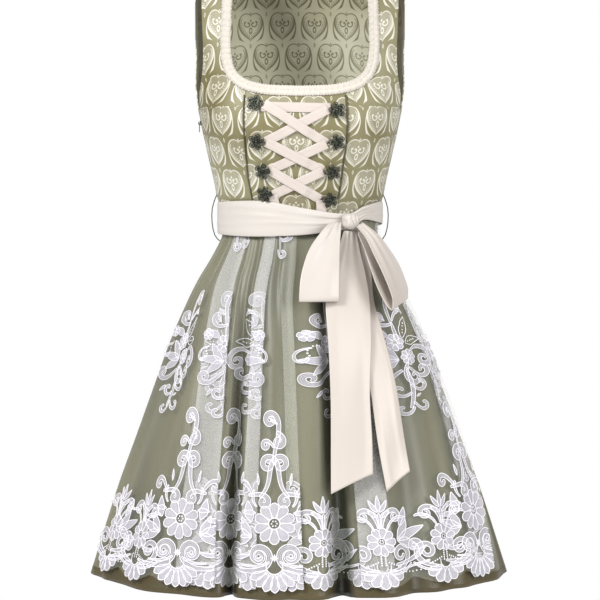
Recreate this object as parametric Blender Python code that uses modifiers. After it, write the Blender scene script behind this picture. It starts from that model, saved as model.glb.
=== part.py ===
"""A knee-length dirndl dress with its lace apron, hollow, as worn on a general figure.

Metres, +Z up, front towards -Y, +X to the right of someone facing the front. The origin is
the middle of the shoulder line. Every cloth piece is an open net laid on the figure's form
and given its wall by Solidify. Pieces lie a small gap apart where they are sewn.
"""
import math

import bmesh
import bpy
from mathutils import Matrix, Vector
from mathutils.bvhtree import BVHTree

# ---------------------------------------------------------------- driving dimensions
DRESS = "dirndl_dress"
SEAM = 0.0003                 # gap left between two pieces
WALL_BODICE = 0.0015          # lined jacquard
WALL_SKIRT = 0.0012           # satin
WALL_NET = 0.0010             # apron net, with its embroidery
WALL_RIBBON = 0.0010          # satin ribbon
WAIST = -0.4050               # height of the waist seam
HEM = -0.9510                 # height of the skirt hem
SHOULDER_START = -0.1150      # where the chest begins to roll over the shoulder
SHOULDER_ARC = 0.1500         # cloth length from there to the shoulder seam
SHOULDER_MID = 0.1255         # half the distance between the shoulder mid points
SHOULDER_SLOPE = 0.36
ARMHOLE_FOOT = -0.2400
SIDE_SEAM = 80.0              # degrees from the centre front
CUP_RISE = 0.008
CUP_ANGLE = 38.0
CUP_HEIGHT = -0.262
CUP_SPREAD = (22.0, 0.050)    # degrees, metres
BODICE_ROWS = 10              # rows of the front panels below the neckline
BACK_NECK_LEVEL = -0.0440     # height of the level back neckline
BACK_NECK_WIDE = 0.0900       # half its width
BACK_STRAP_INNER = 0.0985     # half the distance between the back straps
BACK_STRAP_SHARES = (0.0, 0.17, 0.55)   # where a strap's columns lie, from its outer edge
SEAM_ANGLE = 0.07             # half a side seam's gap in the bodice, in degrees
SKIRT_SEAM_ANGLE = 0.08       # the same in the skirt
SASH_SEAM_ANGLE = 0.1         # the same in the sash
SHOULDER_BEND = 0.030         # softens the shoulder slope across the middle
TRIM_WIDTH = 0.0150
TRIM_THICK = 0.0014
TRIM_RIPPLE = 0.0009
TRIM_PITCH = 0.0080
TRIM_SEAT = 0.0003            # the trim lies this much over its seam gap
PIPING_RADIUS = 0.0010
PIPING_ENDS = (-0.2225, -0.3745)
SEAT = 0.0007                 # from a wall to the small pieces sewn on it
LACE_WIDTH = 0.0140           # the bodice ribbon
LACE_LIFT = 0.0006
LACE_STEP = 0.0016            # height of one crossing over another
HOOK_RADIUS = 0.0130
HOOK_PLATE = 0.0022
HOOK_FOOT = 0.0038
HOOK_FOOT_SHARE = 0.38
LOOP_RADIUS = 0.0008          # thread belt loops
LOOP_DEPTH = 0.004            # how far behind the side seam they stand
ZIP_THICK = 0.0010
ZIP_SEAT = 0.0002             # the chain lies this much under its seam gap
ZIP_SPREAD = 0.9              # half the chain's width, in degrees
ZIP_HEAD = -0.2460
ZIP_FOOT = -0.4000
SLIDER_HEIGHT = -0.2590
SLIDER_BODY = (0.0050, 0.0070, 0.0014)
BAIL_WIDE = 0.0016
BAIL_WALL = 0.0009
BAIL_STEP = 0.0002            # from the slider's face to the bail's hollow
BAIL_HOLLOW = (0.0030, 0.0018)
PULL_TAB = (0.0046, 0.0140, 0.0009)
PULL_BAR = 0.0010
PULL_WINDOW = (0.0024, 0.0034)
GATHER_RISE = 0.0012
RIDGE_RISE = 0.0030
APRON_DROP = 0.962            # share of the skirt's length at the apron's hem
SCALLOP = 0.0120
SCALLOP_PITCH = 0.0830

FORM = (
    # height, half width, front depth, back depth, squareness
    (-0.4050, 0.1185, 0.0920, 0.0840, 2.00),
    (-0.3900, 0.1215, 0.0940, 0.0858, 2.00),
    (-0.3790, 0.1245, 0.0965, 0.0878, 2.00),
    (-0.3700, 0.1272, 0.1000, 0.0905, 2.06),
    (-0.3450, 0.1320, 0.1065, 0.0930, 2.15),
    (-0.2990, 0.1425, 0.1180, 0.1000, 2.25),
    (-0.2620, 0.1505, 0.1235, 0.1050, 2.30),
    (-0.2400, 0.1550, 0.1240, 0.1080, 2.30),
    (-0.2155, 0.1635, 0.1205, 0.1110, 2.30),
    (-0.1800, 0.1710, 0.1135, 0.1135, 2.30),
    (-0.1400, 0.1765, 0.1060, 0.1140, 2.30),
    (-0.1000, 0.1780, 0.1000, 0.1120, 2.30),
    (0.0500, 0.1780, 0.1000, 0.1120, 2.30),
)
NECK = (
    # height along the cloth, half width of the front neckline
    (-0.2094, 0.0000),
    (-0.2076, 0.0450),
    (-0.2036, 0.0665),
    (-0.1980, 0.0805),
    (-0.1857, 0.0939),
    (-0.1700, 0.1000),
    (-0.1524, 0.1022),
    (-0.1375, 0.1027),
    (-0.0770, 0.1003),
    (0.0400, 0.0980),
)
ARMHOLE = (
    # height along the cloth, half width at the front edge, and at the back edge
    (-0.2400, 0.1546, 0.1546),
    (-0.2285, 0.1525, 0.1570),
    (-0.2155, 0.1496, 0.1595),
    (-0.1950, 0.1462, 0.1620),
    (-0.1713, 0.1444, 0.1618),
    (-0.1450, 0.1446, 0.1620),
    (-0.1181, 0.1459, 0.1632),
    (-0.0500, 0.1485, 0.1625),
    (0.0400, 0.1530, 0.1530),
)
NECK_BOTTOM = NECK[:5]         # the rows along the bottom of the neckline
NECK_TURN = NECK[3][0]
PRINCESS = (
    # height, left seam, right seam
    (-0.4050, -0.0690, 0.0550),
    (-0.3780, -0.0702, 0.0567),
    (-0.3407, -0.0765, 0.0614),
    (-0.2756, -0.0785, 0.0675),
    (-0.2235, -0.0794, 0.0665),
    (-0.1900, -0.0797, 0.0660),
)
SKIRT_FORM = (
    # share of the length, half width, front depth, back depth, middle across
    (0.000, 0.1185, 0.0920, 0.0840, 0.0000),
    (0.045, 0.1178, 0.0925, 0.0850, 0.0000),
    (0.070, 0.1230, 0.0965, 0.0880, 0.0000),
    (0.120, 0.1370, 0.1080, 0.0990, -0.0010),
    (0.170, 0.1510, 0.1190, 0.1110, -0.0040),
    (0.230, 0.1658, 0.1300, 0.1240, -0.0060),
    (0.340, 0.1940, 0.1490, 0.1450, -0.0045),
    (0.510, 0.2295, 0.1720, 0.1700, -0.0030),
    (0.620, 0.2518, 0.1865, 0.1860, -0.0025),
    (0.750, 0.2785, 0.2030, 0.2030, -0.0020),
    (1.000, 0.3225, 0.2330, 0.2330, -0.0020),
)
SKIRT_ROWS = (0.0, 0.045, 0.08, 0.12, 0.17, 0.24, 0.33, 0.44, 0.56, 0.70, 0.86, 1.0)
FRONT_FOLDS = (
    # fold line, angle at the waist, at a third of the length, at the hem, dip at the hem,
    # plain lines up to the next one
    ("seam_left", -90.0, -90.0, -90.0, 0.000, 1),
    ("apron_left", -86.5, -86.0, -78.0, 0.000, 2),
    ("soft_left", -63.0, -60.0, -65.0, 0.008, 3),
    ("first_turn", -57.0, -44.0, -34.0, 0.000, 1),
    ("first_edge", -43.0, -30.5, -21.7, 0.004, 1),
    ("left_recess", -35.0, -25.0, -18.6, 0.028, 1),
    ("second_edge", -27.0, -20.0, -15.5, 0.004, 0),
    ("second_turn", -18.0, -14.5, -10.8, 0.000, 1),
    ("third_turn", -11.6, -6.0, -2.5, 0.000, 0),
    ("third_edge", -2.7, -1.0, 1.5, 0.000, 0),
    ("middle", 12.3, 8.2, 6.5, 0.004, 1),
    ("right_recess", 23.0, 15.0, 12.5, 0.028, 1),
    ("fourth_edge", 29.0, 19.5, 16.4, 0.004, 1),
    ("fourth_turn", 36.5, 29.0, 26.2, 0.000, 0),
    ("soft_right", 51.0, 39.5, 32.5, 0.010, 4),
    ("fifth_edge", 70.0, 69.0, 54.2, 0.006, 1),
    ("fifth_turn", 83.0, 83.0, 65.0, 0.000, 0),
    ("apron_right", 86.5, 86.0, 71.0, 0.000, 2),
    ("seam_right", 90.0, 90.0, 90.0, 0.000, 0),
)
BACK_FOLDS = (
    # fold line, angle at the waist, at a third of the length, at the hem, dip at the hem,
    # plain lines up to the next one
    ("seam_right", 90.0, 90.0, 90.0, 0.000, 2),
    ("back_1", 112.0, 112.0, 109.0, 0.020, 3),
    ("back_2", 134.0, 137.0, 138.0, 0.012, 3),
    ("back_3", 157.0, 158.0, 160.0, 0.026, 3),
    ("back_4", 182.0, 181.0, 183.0, 0.014, 3),
    ("back_5", 205.0, 203.0, 200.0, 0.026, 3),
    ("back_6", 230.0, 226.0, 225.0, 0.012, 3),
    ("back_7", 249.0, 250.0, 251.0, 0.020, 2),
    ("seam_left", 270.0, 270.0, 270.0, 0.000, 0),
)
APRON_PATH = (
    # from this fold line, to this one, layer at the start, layer at the end
    ("apron_left", "soft_left", 0, 2),
    ("soft_left", "first_edge", 2, 2),
    ("first_edge", "first_turn", 1, 1),
    ("first_turn", "second_turn", 0, 0),
    ("second_turn", "second_edge", 1, 1),
    ("second_edge", "third_edge", 2, 2),
    ("third_edge", "third_turn", 1, 1),
    ("third_turn", "fourth_turn", 0, 0),
    ("fourth_turn", "fourth_edge", 1, 1),
    ("fourth_edge", "fifth_turn", 2, 2),
    ("fifth_turn", "fifth_edge", 1, 1),
    ("fifth_edge", "apron_right", 0, 0),
)
LAYER_LIFT = (
    # share of the length, lift of the innermost layer, step from one layer to the next
    (0.000, 0.0027, 0.0018),
    (0.060, 0.0027, 0.0018),
    (0.160, 0.0055, 0.0030),
    (1.000, 0.0055, 0.0030),
)
SASH_FORM = (0.1264, 0.1016, 0.0905, 2.05)   # half width, front, back, squareness
SASH_EDGE = (
    # angle, top height, bottom height
    (-90.0, -0.3800, -0.4270),
    (-60.0, -0.3790, -0.4300),
    (-35.0, -0.3780, -0.4315),
    (-18.0, -0.3805, -0.4310),
    (4.0, -0.3900, -0.4285),
    (25.0, -0.3972, -0.4225),
    (36.0, -0.3975, -0.4200),
    (49.0, -0.3870, -0.4060),
    (72.0, -0.3792, -0.4105),
    (90.0, -0.3790, -0.4130),
    (180.0, -0.3780, -0.4280),
    (270.0, -0.3800, -0.4270),
)
KNOT_ANGLE = 33.0
KNOT_GAP_ANGLE = 0.2          # from the knot's middle to each end of the sash
KNOT_SIZE = (0.0140, 0.0100, 0.0125)
KNOT_HEIGHT = -0.4090
KNOT_SEAT = 0.0009
KNOT_CUBE = 1.28              # a cube this much larger rounds off to the knot's size
HOOKS_LEFT = (
    # hook, then where the ribbon turns: across, height
    (-0.0645, -0.2349, -0.0519, -0.2357),
    (-0.0624, -0.2890, -0.0490, -0.2905),
    (-0.0544, -0.3319, -0.0440, -0.3319),
    (-0.0516, -0.3655, -0.0400, -0.3690),
)
HOOKS_RIGHT = (
    # hook, then where the ribbon turns: across, height
    (0.0534, -0.2446, 0.0408, -0.2431),
    (0.0535, -0.2899, 0.0386, -0.2934),
    (0.0477, -0.3334, 0.0335, -0.3334),
    (0.0441, -0.3735, 0.0300, -0.3755),
)
TAIL_LEFT = (
    # height, left edge, right edge, lift off the apron's form, at the left and right edge
    (-0.4229, 0.0650, 0.0840, 0.0222, 0.0225),
    (-0.4520, 0.0560, 0.0890, 0.0230, 0.0225),
    (-0.4850, 0.0440, 0.0970, 0.0225, 0.0230),
    (-0.5270, 0.0380, 0.1040, 0.0215, 0.0230),
    (-0.5800, 0.0410, 0.1050, 0.0205, 0.0225),
    (-0.6600, 0.0435, 0.1010, 0.0185, 0.0215),
    (-0.7250, 0.0440, 0.1040, 0.0170, 0.0195),
    (-0.7740, 0.0450, 0.1060, 0.0165, 0.0175),
)
TAIL_RIGHT = (
    # height, left edge, right edge, lift off the apron's form, at the left and right edge
    (-0.4222, 0.0745, 0.0900, 0.0180, 0.0180),
    (-0.4520, 0.0740, 0.0990, 0.0170, 0.0163),
    (-0.4850, 0.0740, 0.1060, 0.0170, 0.0160),
    (-0.5270, 0.0760, 0.1100, 0.0170, 0.0160),
    (-0.5900, 0.0870, 0.1270, 0.0165, 0.0160),
    (-0.6500, 0.1010, 0.1400, 0.0160, 0.0160),
    (-0.7200, 0.1130, 0.1510, 0.0160, 0.0155),
    (-0.7740, 0.1260, 0.1610, 0.0155, 0.0155),
)
TAIL_CUT = 0.0260             # how much longer one corner of a tail is than the other
BOW_LEFT = (
    # round the loop: middle across, height, half width, lift off the skirt's form
    (0.0529, -0.4110, 0.0085, 0.0210),
    (0.0465, -0.4230, 0.0140, 0.0335),
    (0.0360, -0.4500, 0.0225, 0.0400),
    (0.0300, -0.4850, 0.0280, 0.0395),
    (0.0280, -0.5180, 0.0295, 0.0370),
    (0.0280, -0.5250, 0.0295, 0.0320),
    (0.0280, -0.5180, 0.0295, 0.0275),
    (0.0310, -0.4850, 0.0265, 0.0265),
    (0.0380, -0.4500, 0.0210, 0.0265),
    (0.0460, -0.4270, 0.0125, 0.0260),
    (0.0529, -0.4160, 0.0085, 0.0180),
)
BOW_RIGHT = (
    # round the loop: middle across, out, height, share of the ribbon's width
    (0.0892, -0.0960, -0.4140, 0.40),
    (0.1050, -0.1130, -0.4300, 0.62),
    (0.1190, -0.1230, -0.4520, 0.85),
    (0.1360, -0.1260, -0.4832, 1.00),
    (0.1480, -0.1270, -0.5158, 1.00),
    (0.1475, -0.1270, -0.5310, 1.00),
    (0.1391, -0.1270, -0.5230, 1.00),
    (0.1243, -0.1280, -0.4950, 0.95),
    (0.1110, -0.1250, -0.4640, 0.75),
    (0.1010, -0.1160, -0.4430, 0.55),
    (0.0910, -0.0995, -0.4230, 0.40),
)
BOW_RIGHT_SIDE = (0.0125, 0.0255, 0.0070)   # half the ribbon's width, as a direction


# ---------------------------------------------------------------- small helpers
def between(rows, at):
    """The other columns of a table at a place along its first column, on a smooth curve."""
    if at <= rows[0][0]:
        return list(rows[0][1:])
    if at >= rows[-1][0]:
        return list(rows[-1][1:])
    last = len(rows) - 1
    i = max(k for k in range(last) if rows[k][0] <= at)
    span = rows[i + 1][0] - rows[i][0]
    t = (at - rows[i][0]) / span
    found = []
    for c in range(1, len(rows[0])):
        here, there = rows[i][c], rows[i + 1][c]
        chord = (there - here) / span
        before, after = chord, chord
        if i > 0:
            before = (there - rows[i - 1][c]) / (rows[i + 1][0] - rows[i - 1][0])
        if i + 1 < last:
            after = (rows[i + 2][c] - here) / (rows[i + 2][0] - rows[i][0])
        if before * chord <= 0.0:
            before = 0.0
        if after * chord <= 0.0:
            after = 0.0
        before = math.copysign(min(abs(before), 3 * abs(chord)), chord)
        after = math.copysign(min(abs(after), 3 * abs(chord)), chord)
        found.append((2 * t**3 - 3 * t**2 + 1) * here + (t**3 - 2 * t**2 + t) * span * before
                     + (3 * t**2 - 2 * t**3) * there + (t**3 - t**2) * span * after)
    return found


def mix(a, b, share):
    return a + (b - a) * share


def ring_point(angle, half_width, front, back, squareness):
    """A point of a level section of the figure, by its angle from the centre front."""
    s = math.sin(math.radians(angle))
    c = math.cos(math.radians(angle))
    power = 2.0 / squareness
    x = math.copysign(abs(s) ** power, s) * half_width
    y = -math.copysign(abs(c) ** power, c) * (front if c > 0 else back)
    return x, y


def linear(colour):
    """An 0-255 screen colour as Blender's linear one."""
    parts = [v / 255.0 for v in colour]
    return [p / 12.92 if p < 0.04045 else ((p + 0.055) / 1.055) ** 2.4 for p in parts] + [1.0]


FINISH = {
    # name: screen colour, roughness, metallic
    "jacquard": ((150, 141, 112), 0.55, 0.0),
    "olive satin": ((112, 106, 78), 0.42, 0.0),
    "white net": ((222, 220, 214), 0.75, 0.0),
    "ivory satin": ((234, 227, 218), 0.40, 0.0),
    "ivory braid": ((232, 225, 212), 0.70, 0.0),
    "dark piping": ((66, 64, 44), 0.60, 0.0),
    "dark metal": ((58, 58, 52), 0.40, 0.85),
    "green thread": ((60, 66, 50), 0.70, 0.0),
    "grey metal": ((128, 128, 126), 0.35, 0.90),
}


def finish(name):
    material = bpy.data.materials.get(name)
    if material is None:
        colour, rough, metal = FINISH[name]
        material = bpy.data.materials.new(name)
        material.use_nodes = True
        shader = material.node_tree.nodes["Principled BSDF"]
        shader.inputs["Base Color"].default_value = linear(colour)
        shader.inputs["Roughness"].default_value = rough
        shader.inputs["Metallic"].default_value = metal
    return material


def new_object(name, mesh, material):
    made = bpy.data.objects.new(name, mesh)
    bpy.data.collections[DRESS].objects.link(made)
    mesh.materials.clear()
    mesh.materials.append(finish(material))
    return made


def mesh_of(bm, name):
    mesh = bpy.data.meshes.new(name)
    bm.to_mesh(mesh)
    bm.free()
    return mesh


def cloth(name, columns, rows, place, wall, material, over=None, outside=1.0):
    """An open net of columns x rows, each point put by place(i, j), with a wall outwards,
    or to both sides of it where outside is 0.

    place gives None where the cloth is cut away. over(i, j), if given, puts the points of
    the outer face instead of the plain wall.
    """
    bm = bmesh.new()
    bmesh.ops.create_grid(bm, x_segments=columns, y_segments=rows, size=1.0)
    keys = bm.verts.layers.int.new("key")
    cut = []
    for vert in bm.verts:
        i = round((vert.co.x + 1) / 2 * columns)
        j = round((vert.co.y + 1) / 2 * rows)
        vert[keys] = i * (rows + 1) + j
        put = place(i, j)
        if put is None:
            cut.append(vert)
        else:
            vert.co = put
    bmesh.ops.delete(bm, geom=cut, context="VERTS")
    made = new_object(name, mesh_of(bm, name), material)
    shell = made.modifiers.new("wall", "SOLIDIFY")
    shell.thickness = wall
    shell.offset = outside
    shell.use_even_offset = over is None
    if over is None:
        return made
    solid = bpy.data.meshes.new_from_object(made.evaluated_get(_depsgraph()))
    made.modifiers.clear()
    made.data = solid
    keys = solid.attributes["key"].data
    for vert in solid.vertices:
        i, j = divmod(keys[vert.index].value, rows + 1)
        if (vert.co - place(i, j)).length > wall / 2:
            vert.co = over(i, j)
    return made


def _depsgraph():
    bpy.context.view_layer.update()
    return bpy.context.evaluated_depsgraph_get()


def tube(name, points, radius, material):
    """A round cord along smooth points."""
    line = bpy.data.curves.new(name, "CURVE")
    line.dimensions = "3D"
    line.bevel_depth = radius
    line.bevel_resolution = 2
    line.use_fill_caps = True
    spline = line.splines.new("POLY")
    spline.points.add(len(points) - 1)
    for point, put in zip(spline.points, points):
        point.co = (*put, 1.0)
    made = bpy.data.objects.new(name, line)
    bpy.data.collections[DRESS].objects.link(made)
    line.materials.append(finish(material))
    return made


def smooth_path(points, count):
    """Evenly numbered points on a smooth curve through the given ones."""
    rows = [(k, *p) for k, p in enumerate(points)]
    return [between(rows, (len(points) - 1) * k / (count - 1)) for k in range(count)]


def box(bm, size, centre):
    made = bmesh.ops.create_cube(bm, size=1.0)["verts"]
    bmesh.ops.scale(bm, vec=size, verts=made)
    bmesh.ops.translate(bm, vec=centre, verts=made)


# ---------------------------------------------------------------- the figure's form
def body_ring(height):
    return between(FORM, height)


def angle_at(across, height):
    """The angle whose point on the form lies this far to the side."""
    half_width, _, _, squareness = body_ring(min(height, SHOULDER_START))
    share = min(abs(across) / half_width, 1.0)
    return math.copysign(math.degrees(math.asin(share ** (squareness / 2))), across)


def shoulder_top(across):
    """Height of the shoulder line, which slopes down to both sides of the neck."""
    return SHOULDER_SLOPE * (math.hypot(SHOULDER_MID, SHOULDER_BEND)
                             - math.hypot(across, SHOULDER_BEND))


def bare_body(angle, height, back=False):
    """A point of the form. Above SHOULDER_START the height runs on along the cloth."""
    level = min(height, SHOULDER_START)
    x, y = ring_point(angle, *body_ring(level))
    rise = math.exp(-((abs(angle) - CUP_ANGLE) / CUP_SPREAD[0]) ** 2
                    - ((height - CUP_HEIGHT) / CUP_SPREAD[1]) ** 2)
    if not back:
        x *= 1 + rise * CUP_RISE / 0.13
        y *= 1 + rise * CUP_RISE / 0.13
    if height <= SHOULDER_START:
        return Vector((x, y, height))
    roll = math.radians(90 * (height - SHOULDER_START) / SHOULDER_ARC)
    top = shoulder_top(x)
    side = 1 if back else -1
    return Vector((x, side * SEAM / 2 + y * math.cos(roll),
                   mix(SHOULDER_START, top, math.sin(roll))))


def on_body(angle, height, lift=0.0, back=False):
    """A point of the form moved out by a lift."""
    here = bare_body(angle, height, back)
    step_a, step_h = 0.2, 0.0008
    along = bare_body(angle + step_a, height, back) - bare_body(angle - step_a, height, back)
    up = bare_body(angle, height + step_h, back) - bare_body(angle, height - step_h, back)
    return here + along.cross(up).normalized() * lift


def on_front(across, height, lift=0.0):
    return on_body(angle_at(across, height), height, lift)


def neck_edge(height):
    return between(NECK, height)[0]


def back_neck_height(across):
    """The place along the cloth where the back reaches its level neckline."""
    share = (BACK_NECK_LEVEL - SHOULDER_START) / (shoulder_top(across) - SHOULDER_START)
    return SHOULDER_START + SHOULDER_ARC * math.degrees(math.asin(share)) / 90


def neck_height(across):
    """The height of the front neckline's lower edge at a place across."""
    turned = [(across_at, height) for height, across_at in NECK_BOTTOM]
    return between(turned, abs(across))[0]


# ---------------------------------------------------------------- bodice
def bodice_front_centre():
    columns = 8
    heights = side_heights(0.0)[:BODICE_ROWS]
    rows = len(heights)

    def place(i, j):
        height = heights[min(j, rows - 1)]
        left, right = between(PRINCESS, height if j < rows else NECK_TURN)
        across = mix(left + SEAM / 2, right - SEAM / 2, i / columns)
        if j == rows:
            height = neck_height(across)
        return on_front(across, height)

    return cloth("bodice_front_centre", columns, rows, place, WALL_BODICE, "jacquard")


def side_heights(start):
    """Rows of a side front, closer together round the neckline's corner."""
    lower = [WAIST + 0.001, -0.390, -0.378, -0.366, -0.337, -0.303, -0.270]
    middle = [ARMHOLE_FOOT, -0.2285, -0.2155, start, -0.1920, -0.1857, -0.1700]
    strap = [-0.1450, SHOULDER_START, -0.080, -0.045, -0.008]
    return lower + middle + strap + [SHOULDER_START + SHOULDER_ARC]


def bodice_side_front(side):
    name = "bodice_side_front_left" if side < 0 else "bodice_side_front_right"
    column = 0 if side < 0 else 1
    columns = 5
    start = neck_height(abs(between(PRINCESS, -0.2)[column]))
    heights = side_heights(start)

    def place(i, j):
        height = heights[j]
        inner = abs(between(PRINCESS, height)[column]) + SEAM / 2
        if height > start:
            inner = max(inner, neck_edge(height))
        inner_angle = angle_at(inner, height)
        outer_angle = SIDE_SEAM - SEAM_ANGLE
        if height > ARMHOLE_FOOT:
            outer_angle = min(outer_angle, angle_at(between(ARMHOLE, height)[0], height))
        share = i / columns if side > 0 else 1 - i / columns
        return on_body(side * mix(inner_angle, outer_angle, share), height)

    return cloth(name, columns, len(heights) - 1, place, WALL_BODICE, "jacquard")


def bodice_back():
    strap, middle = 3, 8
    columns = 2 * strap + middle
    neck_row = back_neck_height(BACK_NECK_WIDE)
    heights = [WAIST + 0.001, -0.390, -0.378, -0.362, -0.325, -0.283, ARMHOLE_FOOT,
               -0.2285, -0.2155, -0.185, -0.150, SHOULDER_START, -0.085,
               neck_row, -0.045, -0.015, SHOULDER_START + SHOULDER_ARC]
    corner = {neck_row: BACK_NECK_WIDE, -0.045: 0.0970}

    def place(i, j):
        height = heights[j]
        edge = SIDE_SEAM + SEAM_ANGLE
        if height > ARMHOLE_FOOT:
            across = between(ARMHOLE, height)[1]
            edge = max(edge, 180 - angle_at(across, height))
        inner_across = corner.get(height, BACK_STRAP_INNER if height > neck_row
                                  else BACK_NECK_WIDE)
        inner = 180 - angle_at(inner_across, height)
        if strap <= i <= strap + middle:
            if height > neck_row and strap < i < strap + middle:
                return None
            angle = mix(inner, 360 - inner, (i - strap) / middle)
            if height == neck_row:
                height = back_neck_height(bare_body(angle, height, True).x)
        elif i < strap:
            angle = mix(edge, inner, BACK_STRAP_SHARES[i])
        else:
            angle = mix(360 - edge, 360 - inner, BACK_STRAP_SHARES[columns - i])
        return on_body(angle, height, back=True)

    return cloth("bodice_back", columns, len(heights) - 1, place, WALL_BODICE, "jacquard")


# ---------------------------------------------------------------- neckline trim and piping
def front_neck_path():
    """Stations along the front neckline: across, height, and the way out of the opening."""
    half = []
    height = SHOULDER_START + SHOULDER_ARC - SEAM
    while height > -0.178:
        half.append((neck_edge(height), height))
        height -= TRIM_PITCH / 2
    corner = [(0.0958, -0.1818), (0.0939, -0.1857), (0.0912, -0.1890), (0.0880, -0.1922),
              (0.0845, -0.1952), (0.0805, -0.1980), (0.0765, -0.2000), (0.0722, -0.2018)]
    half += corner
    across = 0.0680
    while across > TRIM_PITCH / 4:
        half.append((across, neck_height(across)))
        across -= TRIM_PITCH / 2
    left = [(-a, h) for a, h in half]
    return left + list(reversed(half))


def back_neck_path():
    half = []
    height = SHOULDER_START + SHOULDER_ARC - SEAM
    while height > -0.040:
        half.append((BACK_STRAP_INNER, height))
        height -= TRIM_PITCH / 2
    half += [(0.0980, -0.0430), (0.0966, -0.0468), (0.0945, -0.0503), (0.0917, -0.0533)]
    half += [(0.0883, -0.0557), (0.0845, back_neck_height(0.0845) - 0.0005)]
    across = 0.0805
    while across > TRIM_PITCH / 4:
        half.append((across, back_neck_height(across)))
        across -= TRIM_PITCH / 2
    left = [(-a, h) for a, h in half]
    return left + list(reversed(half))


def trim(name, path, back):
    last = len(path) - 1

    def station(i, j, lift):
        before = path[max(i - 1, 0)]
        after = path[min(i + 1, last)]
        run = Vector((after[0] - before[0], after[1] - before[1])).normalized()
        out = Vector((run.y, -run.x)) * TRIM_WIDTH * j
        across = path[i][0] + out.x
        height = min(path[i][1] + out.y, SHOULDER_START + SHOULDER_ARC - SEAM)
        angle = angle_at(across, height)
        if back:
            angle = 180 - angle
        return on_body(angle, height, lift, back)

    def under(i, j):
        if back:
            i = last - i
        return station(i, 1 - j, WALL_BODICE + SEAM + TRIM_SEAT)

    def over(i, j):
        if back:
            i = last - i
        ripple = TRIM_RIPPLE if (i + j) % 2 == 0 else 0.0
        return station(i, 1 - j, WALL_BODICE + SEAM + TRIM_SEAT + TRIM_THICK + ripple)

    return cloth(name, last, 1, under, TRIM_THICK, "ivory braid", over)


def piping(side):
    name = "piping_left" if side < 0 else "piping_right"
    column = 0 if side < 0 else 1
    lift = WALL_BODICE + SEAT + PIPING_RADIUS
    top, bottom = PIPING_ENDS
    count = 11
    points = []
    for k in range(count):
        height = mix(top, bottom, k / (count - 1))
        points.append(on_front(between(PRINCESS, height)[column], height, lift))
    return tube(name, points, PIPING_RADIUS, "dark piping")


# ---------------------------------------------------------------- hooks and lacing
def seat_on_front(across, height, lift):
    """The frame of a small piece on the front: right, up and out, at its seat."""
    here = on_front(across, height, lift)
    right = (on_front(across + 0.003, height, lift) - here).normalized()
    up = (on_front(across, height + 0.003, lift) - here).normalized()
    out = right.cross(up).normalized()
    up = out.cross(right)
    frame = Matrix((right, up, out)).transposed().to_4x4()
    return Matrix.Translation(here) @ frame


def surface_of(made):
    """The faces of a finished piece, to measure a gap to."""
    return BVHTree.FromObject(made, _depsgraph())


def hook(name, across, height, turn, panel):
    """A flower-shaped hook: a five-lobed plate on a round foot, settled on its panel."""
    bm = bmesh.new()
    bmesh.ops.create_cone(bm, cap_ends=True, segments=15, radius1=HOOK_RADIUS,
                          radius2=HOOK_RADIUS, depth=HOOK_PLATE)
    for vert in bm.verts:
        angle = math.atan2(vert.co.y, vert.co.x)
        size = 0.86 + 0.14 * math.cos(5 * (angle - turn))
        vert.co.x *= size
        vert.co.y *= size * 0.90
        vert.co.z += HOOK_FOOT + HOOK_PLATE / 2
    under = min(bm.faces, key=lambda face: face.calc_center_median().z)
    bmesh.ops.inset_region(bm, faces=[under], thickness=0.0015, use_even_offset=False)
    for vert in under.verts:
        angle = math.atan2(vert.co.y, vert.co.x)
        vert.co.x = math.cos(angle) * HOOK_RADIUS * HOOK_FOOT_SHARE
        vert.co.y = math.sin(angle) * HOOK_RADIUS * HOOK_FOOT_SHARE
    down = bmesh.ops.extrude_face_region(bm, geom=[under])["geom"]
    foot = [part for part in down if isinstance(part, bmesh.types.BMVert)]
    bmesh.ops.delete(bm, geom=[under], context="FACES_ONLY")
    bmesh.ops.translate(bm, vec=(0, 0, -HOOK_FOOT), verts=foot)
    bmesh.ops.recalc_face_normals(bm, faces=bm.faces)
    made = new_object(name, mesh_of(bm, name), "dark metal")
    seat = seat_on_front(across, height, WALL_BODICE + SEAT)
    touches = [seat @ (vert.co * share) for vert in made.data.vertices
               if vert.co.z < HOOK_FOOT / 2 for share in (0.0, 0.5, 1.0)]
    gap = min(panel.find_nearest(touch)[3] for touch in touches)
    made.matrix_world = seat @ Matrix.Translation((0, 0, SEAM - gap))
    return made


def ribbon(name, start, end, levels):
    """One stretch of bodice ribbon, straight on the chest, at its start, middle, end level."""
    columns = 10
    run = Vector((end[0] - start[0], end[1] - start[1]))
    side = Vector((-run.y, run.x)).normalized() * LACE_WIDTH / 2
    rise = ((0.0, levels[0]), (0.14, levels[0]), (0.30, levels[1]),
            (0.68, levels[1]), (0.82, levels[2]), (1.0, levels[2]))

    def place(i, j):
        share = i / columns
        level = between(rise, share)[0]
        edge = side * (2 * j - 1)
        across = start[0] + run.x * share + edge.x
        height = start[1] + run.y * share + edge.y
        return on_front(across, height, WALL_BODICE + LACE_LIFT + LACE_STEP * level)

    return cloth(name, columns, 1, place, WALL_RIBBON, "ivory satin")


def lacing():
    left = [(row[2], row[3]) for row in HOOKS_LEFT]
    right = [(row[2], row[3]) for row in HOOKS_RIGHT]
    ribbon("lace_top", (left[0][0] - 0.004, left[0][1] - 0.004),
           (right[0][0] + 0.004, right[0][1] + 0.001), (0, 0, 0))
    for k in range(3):
        ribbon(f"lace_down_right_{k + 1}", left[k], right[k + 1], (1, 2, 0))
        start = right[k]
        end = left[k + 1]
        ribbon(f"lace_down_left_{k + 1}", end, start, (0, 1, 1))
    ribbon("lace_end_left", left[3], (left[3][0] + 0.004, -0.3840), (1, 1, 1))
    ribbon("lace_end_right", right[3], (right[3][0] + 0.002, -0.3990), (1, 1, 1))


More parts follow.
